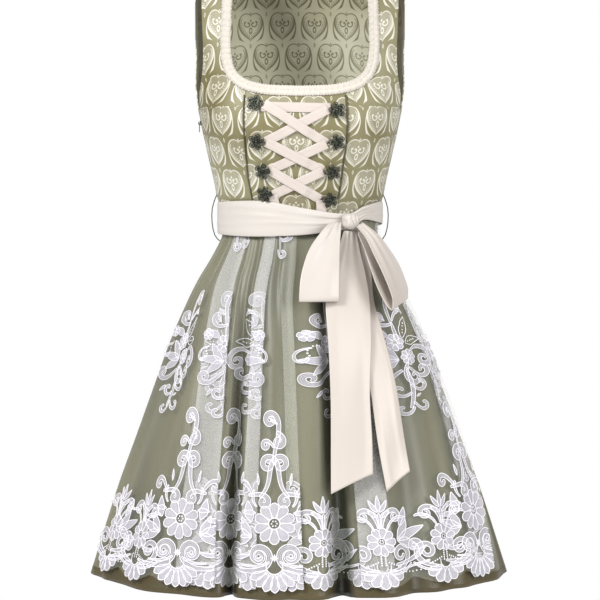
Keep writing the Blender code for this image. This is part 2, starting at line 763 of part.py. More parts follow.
# ---------------------------------------------------------------- skirt and apron
def fold_lines(table):
    """All lines of a skirt half: name or None, angles at waist, third and hem, dip."""
    lines = []
    for row, nxt in zip(table, table[1:]):
        name, *angles, dip, extra = row
        lines.append((name, angles, dip))
        for k in range(1, extra + 1):
            share = k / (extra + 1)
            soft = (1 - math.cos(math.pi * share)) / 2
            wide = min(1.0, abs(nxt[3] - row[3]) / 20.0)
            rise = RIDGE_RISE * math.sin(math.pi * share) * wide
            middle = [mix(a, b, share) for a, b in zip(angles, nxt[1:4])]
            lines.append((None, middle, mix(dip, nxt[4], soft) - rise))
    lines.append((table[-1][0], list(table[-1][1:4]), table[-1][4]))
    return lines


FRONT_LINES = fold_lines(FRONT_FOLDS)
BACK_LINES = fold_lines(BACK_FOLDS)


def line_number(name):
    return next(k for k, line in enumerate(FRONT_LINES) if line[0] == name)


def line_angle(line, share):
    waist, third, hem = line[1]
    return between(((0.0, waist), (0.35, third), (1.0, hem)), share)[0]


def on_skirt(line, number, share, lift=0.0, trim_angle=0.0):
    """A point of a fold line at a share of the skirt's length, moved level outwards."""
    half_width, front, back, middle = between(SKIRT_FORM, share)
    angle = line_angle(line, share) + trim_angle
    gather = GATHER_RISE * (-1 if number % 2 else 1)
    gather *= between(((0.0, 0.3), (0.08, 1.0), (0.20, 0.5), (0.45, 0.0), (1.0, 0.0)), share)[0]
    out = lift - line[2] * share ** 1.1 + gather
    x, y = ring_point(angle, half_width, front, back, 2.0)
    normal = Vector((x / half_width ** 2, y / (front if y < 0 else back) ** 2, 0)).normalized()
    return Vector((middle + x, y, mix(WAIST - 0.0005, HEM, share))) + normal * out


def skirt(name, lines):
    columns = len(lines) - 1
    rows = len(SKIRT_ROWS) - 1

    def place(i, j):
        seam = {0: SKIRT_SEAM_ANGLE, columns: -SKIRT_SEAM_ANGLE}.get(i, 0.0)
        return on_skirt(lines[i], i, SKIRT_ROWS[rows - j], 0.0, seam)

    return cloth(name, columns, rows, place, WALL_SKIRT, "olive satin")


def apron_stations():
    """The lines that the apron follows from left to right, and its layer at each."""
    stations = []
    for start, end, layer, layer_after in APRON_PATH:
        first, last = line_number(start), line_number(end)
        step = 1 if last > first else -1
        for k in range(first, last + step, step):
            here = (k, mix(layer, layer_after, (k - first) / (last - first)))
            if here not in stations[-1:]:
                stations.append(here)
    return stations


def apron_lift(layer, share):
    base, step = between(LAYER_LIFT, share)
    return base + step * layer


def apron():
    stations = apron_stations()
    columns = len(stations) - 1
    rows = len(SKIRT_ROWS) - 1
    run = [0.0]
    hem = [on_skirt(FRONT_LINES[k], k, 1.0, apron_lift(layer, 1.0)) for k, layer in stations]
    for here, there in zip(hem, hem[1:]):
        run.append(run[-1] + (there - here).length)

    def place(i, j):
        number, layer = stations[i]
        share = SKIRT_ROWS[rows - j]
        if j == 0:
            wave = abs(math.sin(math.pi * run[i] / SCALLOP_PITCH))
            share = APRON_DROP + SCALLOP * (wave - 0.5) / (WAIST - HEM)
        share = max(share, 0.004)
        return on_skirt(FRONT_LINES[number], number, share, apron_lift(layer, share))

    return cloth("apron", columns, rows, place, WALL_NET, "white net", outside=0.0)


# ---------------------------------------------------------------- sash, bow and belt loops
def on_sash(angle, height, lift=0.0):
    x, y = ring_point(angle, *SASH_FORM)
    turn = math.radians(angle)
    out = Vector((math.sin(turn) / SASH_FORM[0],
                  -math.cos(turn) / (SASH_FORM[1] if y < 0 else SASH_FORM[2]), 0)).normalized()
    return Vector((x, y, height)) + out * lift


def sash(name, start, end, columns):
    rows = 4
    creases = (0.0, 0.0005, 0.0, 0.0006, 0.0)

    def place(i, j):
        angle = mix(start, end, i / columns)
        top, bottom = between(SASH_EDGE, angle)
        return on_sash(angle, mix(bottom, top, j / rows), creases[j])

    return cloth(name, columns, rows, place, WALL_RIBBON, "ivory satin")


def knot():
    seat = on_sash(KNOT_ANGLE, KNOT_HEIGHT, WALL_RIBBON + SEAM + KNOT_SIZE[1] + KNOT_SEAT)
    bm = bmesh.new()
    bmesh.ops.create_cube(bm, size=2.0)
    made = new_object("knot", mesh_of(bm, "knot"), "ivory satin")
    for vert in made.data.vertices:
        vert.co = Vector(side * half * KNOT_CUBE for side, half in zip(vert.co, KNOT_SIZE))
    soft = made.modifiers.new("soft", "SUBSURF")
    soft.levels = 2
    soft.render_levels = 2
    made.matrix_world = Matrix.Translation(seat) @ Matrix.Rotation(math.radians(KNOT_ANGLE), 4, "Z")
    return made


def over_apron(across, height, lift):
    """A point in front of the apron, a lift off the skirt's bare form."""
    share = min(max((WAIST - height) / (WAIST - HEM), 0.0), 1.0)
    half_width, front, _, middle = between(SKIRT_FORM, share)
    inside = max(0.0, 1 - ((across - middle) / (half_width + lift)) ** 2)
    return Vector((across, -(front + lift) * math.sqrt(inside), height))


def tail(name, table, long_corner):
    columns = 4
    rows = 11
    down = [(k, *row) for k, row in enumerate(table)]

    def place(i, j):
        share = 1 - j / rows
        height, left, right, lift_left, lift_right = between(down, share * (len(table) - 1))
        across = mix(left, right, i / columns)
        lift = mix(lift_left, lift_right, i / columns)
        corner = 1 - i / columns if long_corner < 0 else i / columns
        height -= TAIL_CUT * corner * max(0.0, (share - 0.7) / 0.3)
        lift += 0.0010 * math.sin(2 * math.pi * i / columns) * (1 - share)
        return over_apron(across, height, lift)

    return cloth(name, columns, rows, place, WALL_RIBBON, "ivory satin")


def bow_loop_left():
    columns = 4
    rows = 20
    down = [(k, *row) for k, row in enumerate(BOW_LEFT)]

    def place(i, j):
        across, height, half, lift = between(down, (len(BOW_LEFT) - 1) * (1 - j / rows))
        at = mix(across - half, across + half, i / columns)
        return over_apron(at, height, lift)

    return cloth("bow_loop_left", columns, rows, place, WALL_RIBBON, "ivory satin")


def bow_loop_right():
    columns = 4
    rows = 20
    down = [(k, *row) for k, row in enumerate(BOW_RIGHT)]
    side = Vector(BOW_RIGHT_SIDE)

    def place(i, j):
        *middle, wide = between(down, (len(BOW_RIGHT) - 1) * (1 - j / rows))
        return Vector(middle) + side * wide * mix(-1, 1, i / columns)

    return cloth("bow_loop_right", columns, rows, place, WALL_RIBBON, "ivory satin")


def belt_loop(side):
    name = "belt_loop_left" if side < 0 else "belt_loop_right"
    route = ((0.1286, -0.3680), (0.1330, -0.3790), (0.1366, -0.3950), (0.1358, -0.4150),
             (0.1315, -0.4320), (0.1240, -0.4400))
    points = smooth_path([(side * x, LOOP_DEPTH, z) for x, z in route], 10)
    return tube(name, points, LOOP_RADIUS, "green thread")


# ---------------------------------------------------------------- side zip
def side_zip():
    """The closed chain, sewn behind the left side seam."""
    rows = 12

    def place(i, j):
        angle = -SIDE_SEAM + ZIP_SPREAD * (2 * i - 1)
        height = mix(ZIP_FOOT, ZIP_HEAD, j / rows)
        return on_body(angle, height, -SEAM - ZIP_SEAT - ZIP_THICK)

    return cloth("side_zip", 1, rows, place, ZIP_THICK, "green thread")


def zip_frame(lift):
    """The slider's frame on the left side seam: along the pivot, up the seam and out."""
    here = on_body(-SIDE_SEAM, SLIDER_HEIGHT, lift)
    out = (on_body(-SIDE_SEAM, SLIDER_HEIGHT, lift + 0.01) - here).normalized()
    pivot = Vector((-out.y, out.x, 0)).normalized()
    up = out.cross(pivot)
    return here, pivot, up, out


def place_in(made, here, axes):
    frame = Matrix(axes).transposed().to_4x4()
    made.matrix_world = Matrix.Translation(here) @ frame


def cut_or_join(made, size, centre, way):
    """Cut a box out of a mesh object, or join it on."""
    bm = bmesh.new()
    box(bm, size, centre)
    tool = new_object("tool", mesh_of(bm, "tool"), "grey metal")
    change = made.modifiers.new("change", "BOOLEAN")
    change.operation = way
    change.solver = "EXACT"
    change.object = tool
    solid = bpy.data.meshes.new_from_object(made.evaluated_get(_depsgraph()))
    made.modifiers.clear()
    made.data = solid
    bpy.data.objects.remove(tool)


def zip_slider():
    """The slider's body with its bail; the pull tab's top bar turns inside the bail."""
    thick = SLIDER_BODY[2]
    bm = bmesh.new()
    box(bm, SLIDER_BODY, (0, 0, thick / 2))
    made = new_object("zip_slider", mesh_of(bm, "zip_slider"), "grey metal")
    root = thick / 2
    high = thick + BAIL_STEP + BAIL_HOLLOW[1] + BAIL_WALL - root
    bail = (BAIL_WIDE, BAIL_HOLLOW[0] + 2 * BAIL_WALL, high)
    cut_or_join(made, bail, (0, 0, root + high / 2), "UNION")
    hollow = (BAIL_WIDE * 2, BAIL_HOLLOW[0], BAIL_HOLLOW[1])
    cut_or_join(made, hollow, (0, 0, thick + BAIL_STEP + BAIL_HOLLOW[1] / 2), "DIFFERENCE")
    here, pivot, up, out = zip_frame(WALL_BODICE + SEAM)
    place_in(made, here, (pivot, up, out))
    return made


def zip_pull():
    """The pull tab, hanging straight down from the bail; its origin is its hinge axis."""
    _, tall, thick = PULL_TAB
    bm = bmesh.new()
    box(bm, PULL_TAB, (0, PULL_BAR / 2 - tall / 2, 0))
    made = new_object("zip_pull", mesh_of(bm, "zip_pull"), "grey metal")
    window = (PULL_WINDOW[0], PULL_WINDOW[1], thick * 3)
    cut_or_join(made, window, (0, -PULL_BAR / 2 - PULL_WINDOW[1] / 2, 0), "DIFFERENCE")
    lift = WALL_BODICE + SEAM + SLIDER_BODY[2] + BAIL_STEP + BAIL_HOLLOW[1] / 2
    here, pivot, _, _ = zip_frame(lift)
    up = Vector((0, 0, 1))
    place_in(made, here, (pivot, up, pivot.cross(up)))
    return made


# ---------------------------------------------------------------- build
def clear():
    for old in list(bpy.data.objects):
        bpy.data.objects.remove(old)
    bpy.context.scene.collection.children.link(bpy.data.collections.new(DRESS))


def main():
    clear()
    panel = surface_of(bodice_front_centre())
    bodice_side_front(-1)
    bodice_side_front(1)
    bodice_back()
    trim("neckline_trim_front", front_neck_path(), False)
    trim("neckline_trim_back", back_neck_path(), True)
    piping(-1)
    piping(1)
    for k, (across, height, _, _) in enumerate(HOOKS_LEFT, 1):
        hook(f"hook_left_{k}", across, height, 0.0, panel)
    for k, (across, height, _, _) in enumerate(HOOKS_RIGHT, 1):
        hook(f"hook_right_{k}", across, height, math.pi, panel)
    lacing()
    skirt("skirt_front", FRONT_LINES)
    skirt("skirt_back", BACK_LINES)
    apron()
    sash("sash_front", -90 + SASH_SEAM_ANGLE, KNOT_ANGLE - KNOT_GAP_ANGLE, 22)
    sash("sash_side", KNOT_ANGLE + KNOT_GAP_ANGLE, 90 - SASH_SEAM_ANGLE, 9)
    sash("sash_back", 90 + SASH_SEAM_ANGLE, 270 - SASH_SEAM_ANGLE, 24)
    knot()
    tail("tail_left", TAIL_LEFT, -1)
    tail("tail_right", TAIL_RIGHT, -1)
    bow_loop_left()
    bow_loop_right()
    belt_loop(-1)
    belt_loop(1)
    side_zip()
    zip_slider()
    zip_pull()


main()
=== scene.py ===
# %% [markdown]
# # A dirndl dress, dressed over its solids
# The solids of the dress are already made and packed. This lesson gives them their looks:
# the figured cloth of the bodice, the shot satin of the skirt, the sheer apron with its
# corded lace, and the satin sash. Every piece lies on the same figure as its solid, so the
# sizes below are the maker's sizes, in metres, with the shoulders at the origin.

# %% Load the solids
import math

import bpy
import numpy as np
from mathutils import Matrix, Vector


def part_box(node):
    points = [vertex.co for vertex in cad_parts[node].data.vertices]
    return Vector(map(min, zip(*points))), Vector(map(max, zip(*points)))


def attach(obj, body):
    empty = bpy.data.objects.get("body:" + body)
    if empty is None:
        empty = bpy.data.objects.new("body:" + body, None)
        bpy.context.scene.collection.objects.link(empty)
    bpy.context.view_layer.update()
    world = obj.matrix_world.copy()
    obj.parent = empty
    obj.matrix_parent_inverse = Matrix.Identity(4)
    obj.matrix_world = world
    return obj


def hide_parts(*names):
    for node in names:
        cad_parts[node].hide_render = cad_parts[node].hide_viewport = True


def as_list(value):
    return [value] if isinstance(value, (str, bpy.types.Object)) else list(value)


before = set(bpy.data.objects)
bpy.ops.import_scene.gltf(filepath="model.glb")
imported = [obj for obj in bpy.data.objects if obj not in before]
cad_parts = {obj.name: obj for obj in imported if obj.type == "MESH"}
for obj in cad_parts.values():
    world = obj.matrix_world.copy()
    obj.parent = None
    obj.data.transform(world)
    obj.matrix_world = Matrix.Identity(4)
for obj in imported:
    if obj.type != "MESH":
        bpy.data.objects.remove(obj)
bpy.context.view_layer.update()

DRESS = "dress"

# %% [markdown]
# ## The camera, the light and the floor
# The dress is seen from straight in front, at chest height, from almost three metres away.
# A white room and wide soft lamps give the even, bright light of a catalogue.

# %% Camera
EYE = Vector((0.0, -2.8, -0.387))
LOOK_AT = Vector((0.0, 0.0, -0.5313))
POINT = 0.00155                # metres of the dress that one point of the view covers
VIEW_WIDE = 600                # points across the view
SENSOR = 36.0
bpy.ops.object.select_all(action="DESELECT")
bpy.ops.object.camera_add(location=EYE)
camera = bpy.context.object
camera.rotation_euler = (LOOK_AT - EYE).to_track_quat("-Z", "Y").to_euler()
camera.data.sensor_width = SENSOR
camera.data.lens = SENSOR * (LOOK_AT - EYE).length / (VIEW_WIDE * POINT)
bpy.context.scene.camera = camera
bpy.context.scene.view_settings.view_transform = "Standard"
print("lens", round(camera.data.lens, 1), "mm")


# %% Lamps, room and floor
def lamp(name, place, aim, size, power):
    bpy.ops.object.light_add(type="AREA", location=place)
    made = bpy.context.object
    made.name = name
    made.data.size = size
    made.data.energy = power
    made.rotation_euler = (Vector(aim) - Vector(place)).to_track_quat("-Z", "Y").to_euler()


lamp("key_lamp", (-1.7, -2.2, 1.3), (0, 0, -0.5), 0.9, 100)
lamp("fill_lamp", (2.4, -2.2, 0.3), (0, 0, -0.5), 1.6, 64)
lamp("top_lamp", (0.2, 0.6, 2.2), (0, 0, -0.4), 1.6, 18)
ROOM_LIGHT = 0.50              # what the room gives to the dress
ROOM_SEEN = 1.0                # how bright the room itself looks
room = bpy.data.worlds.new("white room")
bpy.context.scene.world = room
room.use_nodes = True
room.node_tree.nodes["Background"].inputs["Color"].default_value = (1, 1, 1, 1)
seen = room.node_tree.nodes.new("ShaderNodeLightPath")
strength = room.node_tree.nodes.new("ShaderNodeMapRange")
room.node_tree.links.new(seen.outputs["Is Camera Ray"], strength.inputs["Value"])
strength.inputs["To Min"].default_value = ROOM_LIGHT
strength.inputs["To Max"].default_value = ROOM_SEEN
room.node_tree.links.new(strength.outputs["Result"],
                         room.node_tree.nodes["Background"].inputs["Strength"])
FLOOR = -1.42
bpy.ops.mesh.primitive_plane_add(size=3.0, location=(0, 0, FLOOR))
floor = bpy.context.object
floor.name = "floor"
print("floor", FLOOR)

# %% [markdown]
# ## The figure
# The cut of the dress is written as short tables: rings round the figure at several heights,
# the edges of the neck and the armholes, the princess seams. A smooth curve through each
# table gives every height between.

# %% Sizes
SEAM = 0.0003                  # gap left between two pieces
WALL_BODICE = 0.0015
WALL_SKIRT = 0.0012
WAIST = -0.4050                # height of the waist seam
HEM = -0.9510                  # height of the skirt's lower edge
SHOULDER_START = -0.1150       # where the chest begins to roll over the shoulder
SHOULDER_ARC = 0.1500          # cloth from there to the shoulder seam
SHOULDER_SEAM = SHOULDER_START + SHOULDER_ARC
SHOULDER_MID = 0.1255
SHOULDER_BEND = 0.030
SHOULDER_SLOPE = 0.36
ARMHOLE_FOOT = -0.2400
SIDE_SEAM = 80.0               # degrees from the centre front
SEAM_ANGLE = 0.07              # half a side seam's gap, in degrees
CUP_RISE = 0.008
CUP_REACH = 0.13               # how far the bust lies from the middle of the figure
CUP_ANGLE = 38.0
CUP_HEIGHT = -0.262
CUP_SPREAD = (22.0, 0.050)     # degrees, metres
BACK_NECK_LEVEL = -0.0440
BACK_NECK_WIDE = 0.0900
BACK_STRAP_INNER = 0.0985      # half the distance between the back straps

FORM = (
    # height, half width, front depth, back depth, squareness
    (-0.4050, 0.1185, 0.0920, 0.0840, 2.00),
    (-0.3900, 0.1215, 0.0940, 0.0858, 2.00),
    (-0.3790, 0.1245, 0.0965, 0.0878, 2.00),
    (-0.3700, 0.1272, 0.1000, 0.0905, 2.06),
    (-0.3450, 0.1320, 0.1065, 0.0930, 2.15),
    (-0.2990, 0.1425, 0.1180, 0.1000, 2.25),
    (-0.2620, 0.1505, 0.1235, 0.1050, 2.30),
    (-0.2400, 0.1550, 0.1240, 0.1080, 2.30),
    (-0.2155, 0.1635, 0.1205, 0.1110, 2.30),
    (-0.1800, 0.1710, 0.1135, 0.1135, 2.30),
    (-0.1400, 0.1765, 0.1060, 0.1140, 2.30),
    (-0.1000, 0.1780, 0.1000, 0.1120, 2.30),
    (0.0500, 0.1780, 0.1000, 0.1120, 2.30),
)
NECK = (
    # height along the cloth, half width of the front neckline
    (-0.2094, 0.0000),
    (-0.2076, 0.0450),
    (-0.2036, 0.0665),
    (-0.1980, 0.0805),
    (-0.1857, 0.0939),
    (-0.1700, 0.1000),
    (-0.1524, 0.1022),
    (-0.1375, 0.1027),
    (-0.0770, 0.1003),
    (0.0400, 0.0980),
)
ARMHOLE = (
    # height along the cloth, half width at the front edge, and at the back edge
    (-0.2400, 0.1546, 0.1546),
    (-0.2285, 0.1525, 0.1570),
    (-0.2155, 0.1496, 0.1595),
    (-0.1950, 0.1462, 0.1620),
    (-0.1713, 0.1444, 0.1618),
    (-0.1450, 0.1446, 0.1620),
    (-0.1181, 0.1459, 0.1632),
    (-0.0500, 0.1485, 0.1625),
    (0.0400, 0.1530, 0.1530),
)
NECK_BOTTOM = [(across, height) for height, across in NECK[:5]]
ARMHOLE_ROUND = -0.2155        # the armhole's foot is round up to here
PRINCESS = (
    # height, left seam, right seam
    (-0.4050, -0.0690, 0.0550),
    (-0.3780, -0.0702, 0.0567),
    (-0.3407, -0.0765, 0.0614),
    (-0.2756, -0.0785, 0.0675),
    (-0.2235, -0.0794, 0.0665),
    (-0.1900, -0.0797, 0.0660),
)

print("skirt length:", round(WAIST - HEM, 3), "half width at the bust:", FORM[6][1])


# %% Smooth curves through the tables
def hermite(t, a, b, slope_a, slope_b):
    """From a to b on a smooth curve with these slopes, t from 0 to 1."""
    return ((2 * t**3 - 3 * t**2 + 1) * a + (t**3 - 2 * t**2 + t) * slope_a
            + (3 * t**2 - 2 * t**3) * b + (t**3 - t**2) * slope_b)


def between(rows, at):
    """The other columns of a table at places along its first column, on a smooth curve."""
    table = np.asarray(rows, dtype=float)
    x, y = table[:, 0], table[:, 1:]
    at = np.clip(np.asarray(at, dtype=float), x[0], x[-1])
    i = np.clip(np.searchsorted(x, at, side="right") - 1, 0, len(x) - 2)
    chords = np.diff(y, axis=0) / np.diff(x)[:, None]
    inner = (y[2:] - y[:-2]) / (x[2:] - x[:-2])[:, None]
    slopes = np.vstack([chords[:1], inner, chords[-1:]])
    span = (x[i + 1] - x[i])[..., None]
    t = (at - x[i])[..., None] / span
    chord = chords[i]

    def tamed(slope):
        steep = np.sign(chord) * np.minimum(abs(slope), 3 * abs(chord))
        return np.where(slope * chord <= 0, 0.0, steep)

    return hermite(t, y[i], y[i + 1], span * tamed(slopes[i]), span * tamed(slopes[i + 1]))


def mix(a, b, share):
    """a at share 0, b at share 1."""
    return a + (b - a) * share


def stack(*parts):
    return np.stack(np.broadcast_arrays(*parts), axis=-1)


def unit(vectors):
    return vectors / np.maximum(np.linalg.norm(vectors, axis=-1, keepdims=True), 1e-12)


print("princess seams at the bust:", np.round(between(PRINCESS, CUP_HEIGHT), 4))


# %% The figure's surface
def ring_point(angle, half_width, front, back, squareness):
    """A point of a level section, by its angle from the centre front."""
    s, c = np.sin(np.radians(angle)), np.cos(np.radians(angle))
    power = 2.0 / squareness
    x = np.sign(s) * abs(s) ** power * half_width
    y = -np.sign(c) * abs(c) ** power * np.where(c > 0, front, back)
    return x, y


def angle_at(across, height):
    """The angle whose point on the figure lies this far to the side."""
    half_width, _, _, squareness = np.moveaxis(
        between(FORM, np.minimum(height, SHOULDER_START)), -1, 0)
    share = np.minimum(abs(across) / half_width, 1.0)
    return np.sign(across) * np.degrees(np.arcsin(share ** (squareness / 2)))


def shoulder_top(across):
    """The height of the shoulder line at a place across."""
    return SHOULDER_SLOPE * (math.hypot(SHOULDER_MID, SHOULDER_BEND)
                             - np.hypot(across, SHOULDER_BEND))


def bare_body(angle, height, back=False):
    """A point of the figure. Above SHOULDER_START the height runs on along the cloth."""
    angle, height = np.broadcast_arrays(np.asarray(angle, float), np.asarray(height, float))
    level = np.minimum(height, SHOULDER_START)
    x, y = ring_point(angle, *np.moveaxis(between(FORM, level), -1, 0))
    if not back:
        rise = np.exp(-((abs(angle) - CUP_ANGLE) / CUP_SPREAD[0]) ** 2
                      - ((height - CUP_HEIGHT) / CUP_SPREAD[1]) ** 2)
        x = x * (1 + rise * CUP_RISE / CUP_REACH)
        y = y * (1 + rise * CUP_RISE / CUP_REACH)
    roll = np.radians(90 * np.maximum(height - SHOULDER_START, 0) / SHOULDER_ARC)
    side = 1 if back else -1
    over = height > SHOULDER_START
    z = np.where(over, mix(SHOULDER_START, shoulder_top(x), np.sin(roll)), height)
    y = np.where(over, side * SEAM / 2 + y * np.cos(roll), y)
    return stack(x, y, z)


def on_body(angle, height, lift=0.0, back=False):
    """A point of the figure moved out by a lift."""
    step_a, step_h = 0.2, 0.0008
    along = bare_body(angle + step_a, height, back) - bare_body(angle - step_a, height, back)
    up = bare_body(angle, height + step_h, back) - bare_body(angle, height - step_h, back)
    out = unit(np.cross(along, up))
    return bare_body(angle, height, back) + out * np.asarray(lift)[..., None]


def on_front(across, height, lift=0.0):
    """A point of the figure's front by its place across instead of its angle."""
    return on_body(angle_at(across, height), height, lift)


def neck_height(across):
    """The height of the front neckline's lower edge at a place across."""
    return between(NECK_BOTTOM, abs(across))[..., 0]


def back_neck_height(across):
    """The height along the cloth at which the back neckline is level."""
    share = (BACK_NECK_LEVEL - SHOULDER_START) / (shoulder_top(across) - SHOULDER_START)
    return SHOULDER_START + SHOULDER_ARC * np.degrees(np.arcsin(share)) / 90


print("chest point", np.round(on_front(0.03, -0.25), 4))

# %% [markdown]
# ## Cloth from a net of points
# Each cloth piece is cut flat and laid on the figure. Here it is a net of rows and columns
# of points. The net gets a wall outwards, a rim, and a chart: the place of each point on the
# flat cloth, in metres, so that a woven pattern keeps its true size on it.


# %% Nets and their charts
def out_of(points):
    """The way out of a net at each point: along its row, crossed with up its column."""
    along = np.gradient(points, axis=1)
    up = np.gradient(points, axis=0)
    return unit(np.cross(along, up))


def chart_of(points, start=(0.0, 0.0)):
    """A flat chart of a net: lengths measured along its rows and up its columns."""
    steps = np.linalg.norm(np.diff(points, axis=1), axis=-1)
    u = np.concatenate([np.zeros((len(points), 1)), np.cumsum(steps, axis=1)], axis=1)
    u = u - u[:, points.shape[1] // 2][:, None]
    rises = np.linalg.norm(np.diff(points, axis=0), axis=-1)
    v = np.concatenate([np.zeros((1, points.shape[1])), np.cumsum(rises, axis=0)])
    return stack(u + start[0], v + start[1])


def mesh_piece(name, points, faces, materials, chart=None, slots=None, depth=None):
    """A piece from its points and faces, smooth, with its chart as a UV map.

    depth, if given, says how deep in a fold each point lies, 0 to 1; finishes paint shade by it.
    """
    mesh = bpy.data.meshes.new(name)
    mesh.from_pydata(points, [], faces)
    for material in materials:
        mesh.materials.append(material)
    if slots is not None:
        mesh.polygons.foreach_set("material_index", np.asarray(slots, dtype=np.int32))
    mesh.polygons.foreach_set("use_smooth", np.ones(len(faces), dtype=bool))
    if chart is not None:
        corners = np.empty(len(mesh.loops), dtype=np.int32)
        mesh.loops.foreach_get("vertex_index", corners)
        mesh.uv_layers.new(name="chart").data.foreach_set("uv", chart[corners].ravel())
    if depth is not None:
        kept = mesh.attributes.new("depth", "FLOAT", "POINT")
        kept.data.foreach_set("value", np.asarray(depth, dtype=np.float32))
    mesh.update()
    made = bpy.data.objects.new(name, mesh)
    bpy.context.scene.collection.objects.link(made)
    return made


def quads(rows, columns, start=0):
    """The faces of a net whose points are numbered row by row."""
    number = start + np.arange(rows * columns).reshape(rows, columns)
    return np.stack([number[:-1, :-1], number[:-1, 1:], number[1:, 1:], number[1:, :-1]],
                    axis=-1).reshape(-1, 4)


print("faces of a net of 3 rows by 4 columns:", len(quads(3, 4)))


# %% Cloth with a wall
def cloth(name, points, wall, outer, inner=None, chart=None, share=1.0, keep=None,
          depth=None):
    """A net with a wall: share 1 puts all of it outside the net, 0.5 half to each side.

    keep, if given, says which points of the net are cloth; the others are cut away.
    """
    rows, columns = points.shape[:2]
    chart = (chart_of(points) if chart is None else chart).reshape(-1, 2)
    front = quads(rows, columns)
    if keep is not None:
        front = front[keep.ravel()[front].all(axis=1)]
    if depth is not None:
        depth = depth.ravel()
    if wall == 0:
        return mesh_piece(name, points.reshape(-1, 3), front.tolist(), [outer], chart,
                          depth=depth)
    out = out_of(points)
    face = (points + out * wall * share).reshape(-1, 3)
    back = (points - out * wall * (1 - share)).reshape(-1, 3)
    size = rows * columns
    ways = np.concatenate([front[:, [k, (k + 1) % 4]] for k in range(4)])
    crossed = np.isin(ways[:, 0] * size + ways[:, 1], ways[:, 1] * size + ways[:, 0])
    a, b = ways[~crossed].T
    rim = np.stack([b, a, a + size, b + size], axis=-1)
    faces = np.concatenate([front, rim, front[:, ::-1] + size])
    slots = np.zeros(len(faces), dtype=np.int32)
    if inner is not None:
        slots[len(front) + len(rim):] = 1
    used, numbers = np.unique(faces, return_inverse=True)
    both = np.concatenate([face, back])[used]
    charts = np.concatenate([chart, chart])[used]
    if depth is not None:
        depth = np.concatenate([depth, depth])[used]
    return mesh_piece(name, both, numbers.reshape(-1, 4).tolist(),
                      [outer] + ([inner] if inner else []), charts, slots, depth)


print("cloth walls:", WALL_BODICE, WALL_SKIRT)


# %% Soft steps and lengths along a line
def smooth(start, end, at):
    """0 before start, 1 after end, and a soft rise between."""
    t = np.clip((at - start) / (end - start), 0, 1)
    return t * t * (3 - 2 * t)


def run_along(points):
    """The length along a line of points, from its start to each of them."""
    return np.concatenate([[0], np.cumsum(np.linalg.norm(np.diff(points, axis=0), axis=1))])


def evenly(length, count):
    """Places along a measured line, evenly apart: the values of its own numbering."""
    return np.interp(np.linspace(0, length[-1], count), length, np.linspace(0, 1, len(length)))


print("a soft step at a quarter:", float(smooth(0, 1, 0.25)))

# %% [markdown]
# ## Finishes
# A pattern is a sum over the chart, so a small helper lets us write it as plain arithmetic:
# each wire carries a number at every point of the surface, and wires add and multiply.


# %% Wires, a readable way to write a pattern
class Wire:
    """A number at every point of a surface, carried by a node's socket."""

    def __init__(self, tree, socket):
        self.tree, self.socket = tree, socket

    def by(self, kind, *others, clamp=False):
        node = self.tree.nodes.new("ShaderNodeMath")
        node.operation = kind
        node.use_clamp = clamp
        for slot, value in zip(node.inputs, (self, *others)):
            if isinstance(value, Wire):
                self.tree.links.new(value.socket, slot)
            else:
                slot.default_value = value
        return Wire(self.tree, node.outputs[0])

    def __add__(self, other): return self.by("ADD", other)
    def __sub__(self, other): return self.by("SUBTRACT", other)
    def __mul__(self, other): return self.by("MULTIPLY", other)
    def __truediv__(self, other): return self.by("DIVIDE", other)
    def __abs__(self): return self.by("ABSOLUTE")
    def root(self): return self.by("SQRT")
    def fraction(self): return self.by("FRACT")
    def floor(self): return self.by("FLOOR")
    def sine(self): return self.by("SINE")
    def over(self, other): return self.by("MAXIMUM", other)
    def above(self, level, soft=0.004): return ((self - level) / soft).by("ADD", 0.5, clamp=True)
    def below(self, level, soft=0.004): return ((self - level) / -soft).by("ADD", 0.5, clamp=True)
    def line(self, level, half, soft=0.008): return abs(self - level).below(half, soft)


print("a wire can be:", [name for name in vars(Wire) if not name.startswith("_")])


# %% Nodes, colours and materials
def node(tree, kind, **sockets):
    """A shader node, with wires, sockets or plain values on its inputs."""
    made = tree.nodes.new("ShaderNode" + kind)
    for name, value in sockets.items():
        slot = made.inputs[name.replace("_", " ")]
        if isinstance(value, Wire):
            tree.links.new(value.socket, slot)
        elif isinstance(value, bpy.types.NodeSocket):
            tree.links.new(value, slot)
        else:
            slot.default_value = value
    return made


def screen(*colour):
    """A colour as the screen shows it, 0 to 255, as the linear one that Blender mixes."""
    parts = [v / 255.0 for v in colour]
    return [p / 12.92 if p < 0.04045 else ((p + 0.055) / 1.055) ** 2.4 for p in parts] + [1.0]


def finish(name, rough, **sockets):
    """A new material, its tree and its shader."""
    material = bpy.data.materials.new(name)
    material.use_nodes = True
    shader = material.node_tree.nodes["Principled BSDF"]
    shader.inputs["Roughness"].default_value = rough
    for key, value in sockets.items():
        shader.inputs[key.replace("_", " ")].default_value = value
    return material, material.node_tree, shader


def chart_wires(tree):
    """The place on the flat cloth: across it, and up it, in metres."""
    chart = node(tree, "UVMap")
    chart.uv_map = "chart"
    split = node(tree, "SeparateXYZ", Vector=chart.outputs["UV"])
    return Wire(tree, split.outputs["X"]), Wire(tree, split.outputs["Y"])


def place_wire(tree, axis):
    """The place of a point on the object along one axis, in metres."""
    split = node(tree, "SeparateXYZ", Vector=node(tree, "TexCoord").outputs["Object"])
    return Wire(tree, split.outputs[axis])


def noise(tree, scale, detail=3.0, squeeze=(1, 1, 1), rough=0.5):
    """Soft random spots over the object, stretched by squeeze."""
    place = node(tree, "TexCoord").outputs["Object"]
    mapped = node(tree, "Mapping", Vector=place)
    mapped.inputs["Scale"].default_value = squeeze
    made = node(tree, "TexNoise", Vector=mapped.outputs["Vector"], Scale=scale, Detail=detail,
                Roughness=rough)
    return Wire(tree, made.outputs["Fac"])


print("white as Blender mixes it:", screen(255, 255, 255))


